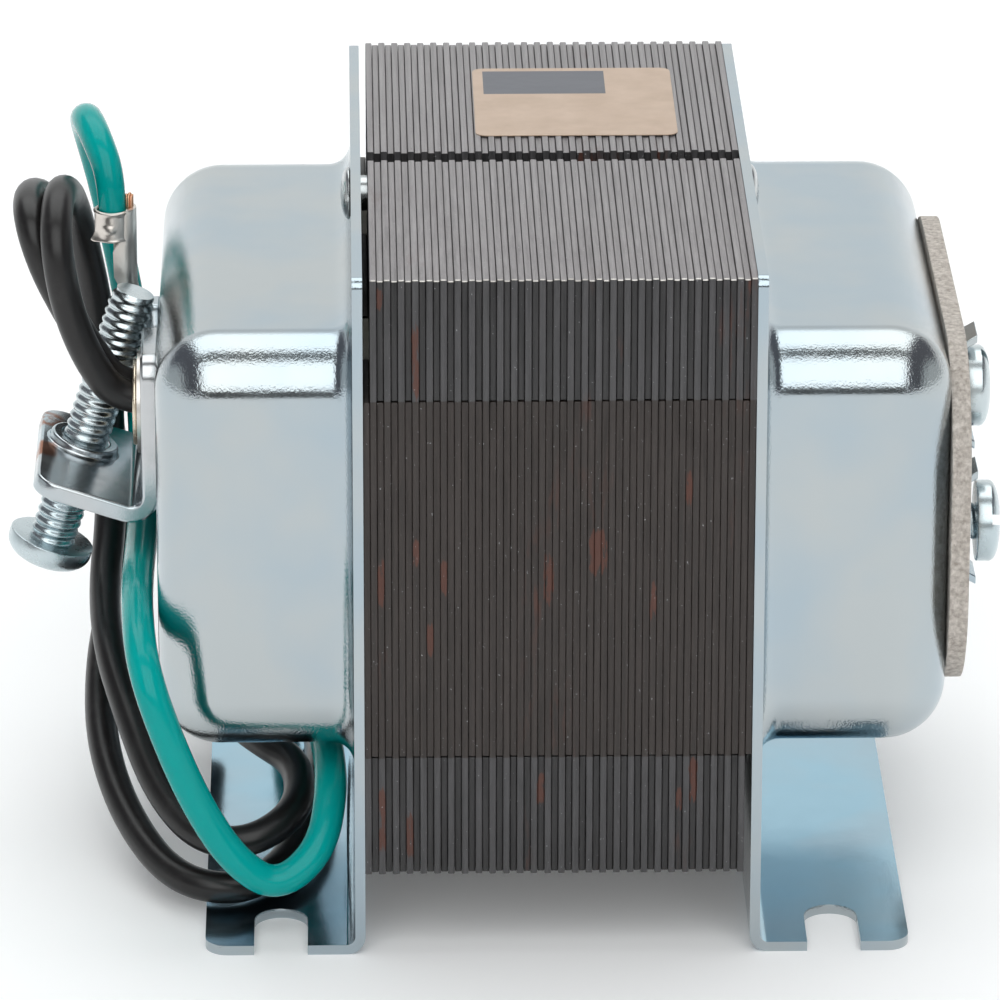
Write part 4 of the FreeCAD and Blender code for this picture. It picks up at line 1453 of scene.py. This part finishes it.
class GroundLug(Piece):
    """The tinned lug with its channel neck and crimped band, and the bare strand in it.

    The neck's stations are heights, each with the channel's depth and the share of the outward bend.
    """

    sizes = LugSizes()
    stations = ((6.3, 0.04, 0.0), (6.8, 0.25, 0.12), (7.4, 0.8, 0.56), (8.1, 1.5, 0.92), (9.0, 1.9, 1.0),
                (11.4, 1.95, 1.0), (12.0, 1.6, 1.0), (12.5, 1.0, 1.0), (15.0, 0.85, 1.0), (15.4, 0.7, 1.0))

    def foot(self, cut: float) -> bpy.types.Object:
        """The flat ring and arm.

        Args:
            cut: height at which they end, in metres.

        Returns:
            A closed piece of the CAD lug.
        """
        build = bmesh.new()
        build.from_mesh(bpy.data.objects["ground_lug"].data)
        bmesh.ops.remove_doubles(build, verts=build.verts, dist=1e-6)
        bmesh.ops.dissolve_limit(build, angle_limit=math.radians(1.0), verts=build.verts, edges=build.edges)
        parts = list(build.verts) + list(build.edges) + list(build.faces)
        result = bmesh.ops.bisect_plane(build, geom=parts, plane_co=(0, 0, cut), plane_no=(0, 0, 1),
                                        clear_outer=True)
        edges = [item for item in result["geom_cut"] if isinstance(item, bmesh.types.BMEdge)]
        bmesh.ops.holes_fill(build, edges=edges, sides=0)
        return self.mesh("foot", build, 30.0)

    def neck(self, back: float, middle: float, base: float) -> bpy.types.Object:
        """Channel-shaped neck from the flat arm up to the band.

        Args:
            back: X of its back face, in millimetres.
            middle: Y of its middle.
            base: height of the eyelet's axis.

        Returns:
            The neck.
        """
        s = self.sizes
        build = bmesh.new()
        rows = []
        for height, depth, share in self.stations:
            round_depth = min(depth, 1.0)
            lip = depth - round_depth
            centre = back - s.bend * share - s.sheet / 2 - round_depth
            wide = s.half_width - s.sheet / 2
            line = [(-lip, -1.0), (-lip / 2, -1.0)]
            line += [(round_depth * math.cos(t), math.sin(t))
                     for t in (math.radians(15 * i - 90) for i in range(13))]
            line += [(-lip / 2, 1.0), (-lip, 1.0)]
            rows.append([build.verts.new(((centre + x) * MM, (middle + wide * y) * MM, (base + height) * MM))
                         for x, y in line])
        for a, b in zip(rows, rows[1:]):
            for i in range(len(a) - 1):
                build.faces.new((a[i], a[i + 1], b[i + 1], b[i]))
        return self.thicken(self.mesh("neck", build, 50.0), s.sheet)

    def band(self, x: float, y: float, base: float) -> bpy.types.Object:
        """Crimped band round the insulation, flared at both rims, with a pressed tab in front.

        Args:
            x: of its axis, in millimetres.
            y: of its axis.
            base: height of the eyelet's axis.

        Returns:
            The band.
        """
        s = self.sizes
        build = bmesh.new()
        steps, levels = 96, 20
        tab_way, corner_way = math.radians(258), math.radians(205)
        rows = []
        for level in range(levels + 1):
            share = level / levels
            z = s.crimp_low + (s.crimp_high - s.crimp_low) * share
            flare = 0.14 * max(0.0, 1 - share / 0.14) ** 2 + 0.16 * max(0.0, 1 - (1 - share) / 0.16) ** 2
            row = []
            for step in range(steps):
                angle = TAU * step / steps
                front = (angle - tab_way + math.pi) % TAU - math.pi
                left = (angle - corner_way + math.pi) % TAU - math.pi
                tab = 0.16 * math.exp(-(front / 0.36) ** 4 - ((share - 0.44) / 0.10) ** 4)
                corner = 0.42 * math.exp(-(left / 0.30) ** 2 - (share / 0.22) ** 2)
                r = s.band_radius + flare + tab + corner
                row.append(build.verts.new(((x + r * math.cos(angle)) * MM, (y + r * math.sin(angle)) * MM,
                                            (base + z) * MM)))
            rows.append(row)
        for a, b in zip(rows, rows[1:]):
            for i in range(steps):
                j = (i + 1) % steps
                build.faces.new((a[i], a[j], b[j], b[i]))
        return self.thicken(self.mesh("band", build, 50.0), s.band_wall)

    def thicken(self, obj: bpy.types.Object, wall: float) -> bpy.types.Object:
        """Gives a sheet its wall, half to each side, and breaks its edges.

        Args:
            obj: the sheet.
            wall: in millimetres.

        Returns:
            The same object.
        """
        solid = obj.modifiers.new("wall", "SOLIDIFY")
        solid.thickness = wall * MM
        solid.offset = 0.0
        bevel = obj.modifiers.new("edges", "BEVEL")
        bevel.width = 0.07 * MM
        bevel.segments = 2
        bevel.limit_method = "ANGLE"
        bevel.angle_limit = math.radians(50)
        apply_modifiers(obj)
        flat_faces_first(obj, 60.0)
        return obj

    def strand(self, x: float, y: float, base: float, crimp_x: float) -> bpy.types.Object:
        """The bare wires: a bundle above the neck, and what the band holds.

        Args:
            x: of the bundle's axis, in millimetres.
            y: of both axes.
            base: height of the eyelet's axis.
            crimp_x: of the band's axis.

        Returns:
            The wires as one object.
        """
        s = self.sizes
        core = revolve([(0.0, 0.0), (s.bundle, 0.0), (s.bundle, 2.0), (0.0, 2.0)], 32)
        place_mesh(core, Vector((crimp_x, y, base + s.crimp_low)) * MM, Vector((0, 0, 1)))
        parts = [self.mesh("held", core, 40.0)]
        for index in range(7):
            angle, reach = TAU * index / 6, (0.0 if index == 6 else s.lay)
            tall = s.strand_proud + 0.6 + 0.12 * math.sin(2.3 * index)
            profile = [(0.0, 0.0), (s.wire, 0.0), (s.wire, tall - 0.04), (s.wire - 0.04, tall), (0.0, tall)]
            wire = revolve(profile, 14)
            out, side = math.cos(angle), math.sin(angle)
            low = Vector((x + reach * out, y + reach * side, base + s.crimp_high - 0.4))
            place_mesh(wire, low * MM, Vector((-0.04 * side, 0.04 * out, 1)).normalized())
            parts.append(self.mesh("wire", wire, 50.0))
        return join("ground_strand_wires", parts)

    def build(self) -> None:
        """Makes the lug and the strand."""
        s = self.sizes
        eyelet_low, eyelet_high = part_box("lead_eyelet")
        base = (eyelet_low.z + eyelet_high.z) / 2 / MM
        low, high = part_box("ground_lug")
        strand_low, strand_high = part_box("ground_strand")
        crimp_x, middle = low.x / MM + s.crimp_reach, (strand_low.y + strand_high.y) / 2 / MM
        parts = [self.foot((base + s.flat_high) * MM), self.neck(high.x / MM, middle, base),
                 self.band(crimp_x, middle, base)]
        self.finish(join("ground_lug_formed", parts), Slot.LUG, "ground_lug")
        strand = self.strand(strand_high.x / MM - s.strand_radius - 0.35, middle, base, crimp_x)
        self.finish(strand, Slot.COPPER, "ground_strand")


class Leads(Piece):
    """The three leads, each on a smooth spline along its route.

    A route's points are in millimetres from the core's middle and its underside.
    """

    radius = 1.45

    def near_route(self) -> list[Point]:
        """Route of the black lead in front of the clamp screw."""
        return [(-35.2, -4.29, 34.1), (-38.9, -4.29, 34.1),
                (-41.2, -4.9, 37.6), (-42.8, -5.3, 41.6), (-43.8, -5.4, 45.8), (-44.3, -4.4, 50.2),
                (-44.0, 1.5, 52.2), (-43.3, 8.2, 49.4), (-42.4, 11.9, 44.0), (-41.3, 13.2, 37.4),
                (-40.5, 13.4, 30.4), (-40.3, 13.4, 23.4), (-40.2, 10.5, 17.0), (-40.8, 4.0, 12.6),
                (-40.2, -4.5, 10.0), (-38.2, -12.0, 6.6), (-35.6, -18.5, 2.0), (-32.0, -23.0, -0.8),
                (-27.4, -24.8, -0.8), (-22.8, -21.0, 0.8), (-22.8, -13.0, 2.0), (-26.6, -8.6, 2.6),
                (-30.2, -2.0, 3.0), (-32.0, 7.0, 0.8), (-31.4, 16.0, -2.6)]

    def far_route(self) -> list[Point]:
        """Route of the black lead with the outer loop."""
        return [(-35.2, -1.31, 34.1), (-38.9, -1.31, 34.1),
                (-41.3, -1.6, 37.7), (-43.5, -1.8, 41.8), (-45.5, -1.8, 46.0), (-46.8, -0.6, 50.2),
                (-46.9, 6.4, 50.4), (-45.3, 12.2, 47.4), (-43.9, 15.8, 42.2), (-42.6, 16.8, 36.2),
                (-41.4, 16.8, 29.8), (-40.2, 16.8, 22.6), (-39.8, 14.4, 15.4), (-40.2, 9.0, 9.4),
                (-41.2, 1.0, 5.6), (-40.9, -7.4, 1.6), (-38.4, -15.6, -2.2), (-34.2, -23.0, -4.8),
                (-28.4, -25.2, -5.2), (-24.2, -19.8, -5.0), (-21.9, -12.0, -3.6), (-21.0, -3.5, -2.4),
                (-21.0, 5.0, -3.2), (-21.6, 13.5, -5.0)]

    def green_route(self) -> list[Point]:
        """Route of the ground lead from its crimp."""
        return [(-39.5, 6.6, 48.0), (-39.5, 6.6, 51.4), (-40.8, 9.0, 54.3),
                (-42.0, 14.0, 55.0), (-42.1, 19.4, 52.2), (-41.0, 22.0, 47.0), (-39.4, 21.4, 39.6),
                (-37.8, 18.6, 31.4), (-37.1, 14.2, 24.4), (-37.0, 6.6, 19.9), (-37.1, -2.6, 19.4),
                (-37.2, -12.2, 20.2), (-37.1, -21.5, 20.6), (-36.4, -30.3, 18.6), (-34.4, -31.2, 12.4),
                (-31.8, -31.0, 5.8), (-28.6, -31.0, 0.4), (-24.8, -30.8, -2.4), (-20.9, -29.4, 0.6),
                (-19.9, -25.0, 4.4), (-20.2, -17.5, 5.6), (-21.4, -8.0, 5.4), (-22.6, 2.0, 4.2),
                (-23.6, 11.0, 0.4), (-24.4, 19.0, -4.0)]

    def lead(self, name: str, node: str, slot: Slot, route: list[Point], length: float,
             squeeze: tuple[float, ...] = ()) -> bpy.types.Object:
        """A lead along a route.

        Args:
            name: the piece's name.
            node: the CAD tube it stands for.
            slot: its finish.
            route: control points in millimetres, from the core's middle and underside.
            length: the real length in metres; not used.
            squeeze: shares of the radius at the first points, in the crimp.

        Returns:
            The curve.
        """
        low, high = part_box("laminated_core")
        origin = Vector(((low.x + high.x) / 2, 0, low.z))
        curve = bpy.data.curves.new(name, "CURVE")
        curve.dimensions = "3D"
        curve.resolution_u = 10
        curve.bevel_depth = self.radius
        curve.bevel_resolution = 8
        curve.use_fill_caps = True
        spline = curve.splines.new("NURBS")
        spline.points.add(len(route) - 1)
        for index, (point, place) in enumerate(zip(spline.points, route)):
            point.co = (*(origin + Vector(place) * MM), 1.0)
            # The point carries the scale to metres, since a curve's box takes its radius in
            point.radius = MM * (squeeze[index] if index < len(squeeze) else 1.0)
        spline.order_u = 3
        spline.use_endpoint_u = True
        obj = bpy.data.objects.new(name, curve)
        bpy.context.scene.collection.objects.link(obj)
        self.finish(obj, slot, node)
        return obj

    def build(self) -> None:
        """Lays the three leads."""
        self.lead("black_lead_near_skin", "black_lead_near", Slot.BLACK, self.near_route(), 0.158)
        self.lead("black_lead_far_skin", "black_lead_far", Slot.BLACK, self.far_route(), 0.159)
        self.lead("green_lead_skin", "green_lead", Slot.GREEN, self.green_route(), 0.176, (0.84, 0.9, 0.98))


@dataclass(frozen=True)
class BellHoles:
    """Radii of the bells' holes, and the terminals' places from the end wall's middle, in millimetres."""

    eyelet: float = 3.55
    terminal: float = 4.6
    terminal_y: float = 2.2
    terminal_rise: float = 5.75
    terminal_drop: float = 1.0
    board_rivet: float = 1.45


def keep_bounds(label: str, store: dict) -> None:
    """Notes the shown object's box."""
    low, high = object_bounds()
    store[label] = [list(low), list(high)]


def paint_solids(frame: dict, palette: Palette) -> None:
    """Gives the CAD nodes that stay their finishes.

    Args:
        palette: the finishes.
    """
    slots = {item["node"]: item["material_slot"] for item in frame["record"]["subparts"]}
    for name, obj in frame["nodes"].items():
        obj.data.materials.clear()
        obj.data.materials.append(palette.by_slot[Slot(slots[name])])


def build_bells(palette: Palette) -> None:
    """Makes both end bells, each with its holes.

    Args:
        palette: the finishes.
    """
    core_low, core_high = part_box("laminated_core")
    low, high = core_low.z / MM, core_high.z / MM
    middle, core, cut = (low + high) / 2, LaminatedCore.sizes, BellHoles()
    rivets = [(0.0, low + core.rivet_inset, core.rivet_hole), (0.0, high - core.rivet_inset, core.rivet_hole)]
    bells = EndBell(palette)
    eyelet_low, eyelet_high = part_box("lead_eyelet")
    eyelet = (eyelet_low + eyelet_high) / 2 / MM
    hole = (eyelet.y, eyelet.z, cut.eyelet)
    bells.make("primary_bell_drawn", "primary_end_bell", BellSizes(18.2), -1, [hole], rivets)
    _, board_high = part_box("board_rivets")
    rivet_y = board_high.y / MM - Fasteners.board_rivet.head
    holes = [(side * cut.terminal_y, middle - cut.terminal_drop + side * cut.terminal_rise, cut.terminal)
             for side in (1, -1)]
    holes += [(y, middle, cut.board_rivet) for y in (-rivet_y, rivet_y)]
    bells.make("secondary_bell_drawn", "secondary_end_bell", BellSizes(17.7), 1, holes, rivets)


def main() -> None:
    """Builds every sub-assembly on the frame."""
    logging.basicConfig(level=logging.INFO)
    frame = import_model()
    sizes: dict = {}
    keep_bounds("loaded", sizes)
    palette = Palette()
    paint_solids(frame, palette)
    core_low, core_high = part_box("laminated_core")
    log.info("studio")
    Studio((core_low.x + core_high.x) / 2, core_low.z).build()
    log.info("leads")
    Leads(palette).build()
    log.info("core")
    LaminatedCore(palette).build()
    log.info("bells")
    build_bells(palette)
    log.info("fasteners")
    fasteners = Fasteners(palette)
    fasteners.build_clamp_screw()
    fasteners.build_terminal_screws()
    fasteners.build_rivets()
    fasteners.build_board_rivets()
    fasteners.build_eyelet()
    log.info("sheet parts")
    SheetParts(palette, frame["nodes"]).build()
    log.info("ground lug")
    GroundLug(palette).build()
    keep_bounds("dressed", sizes)


if __name__ == "__main__":
    main()
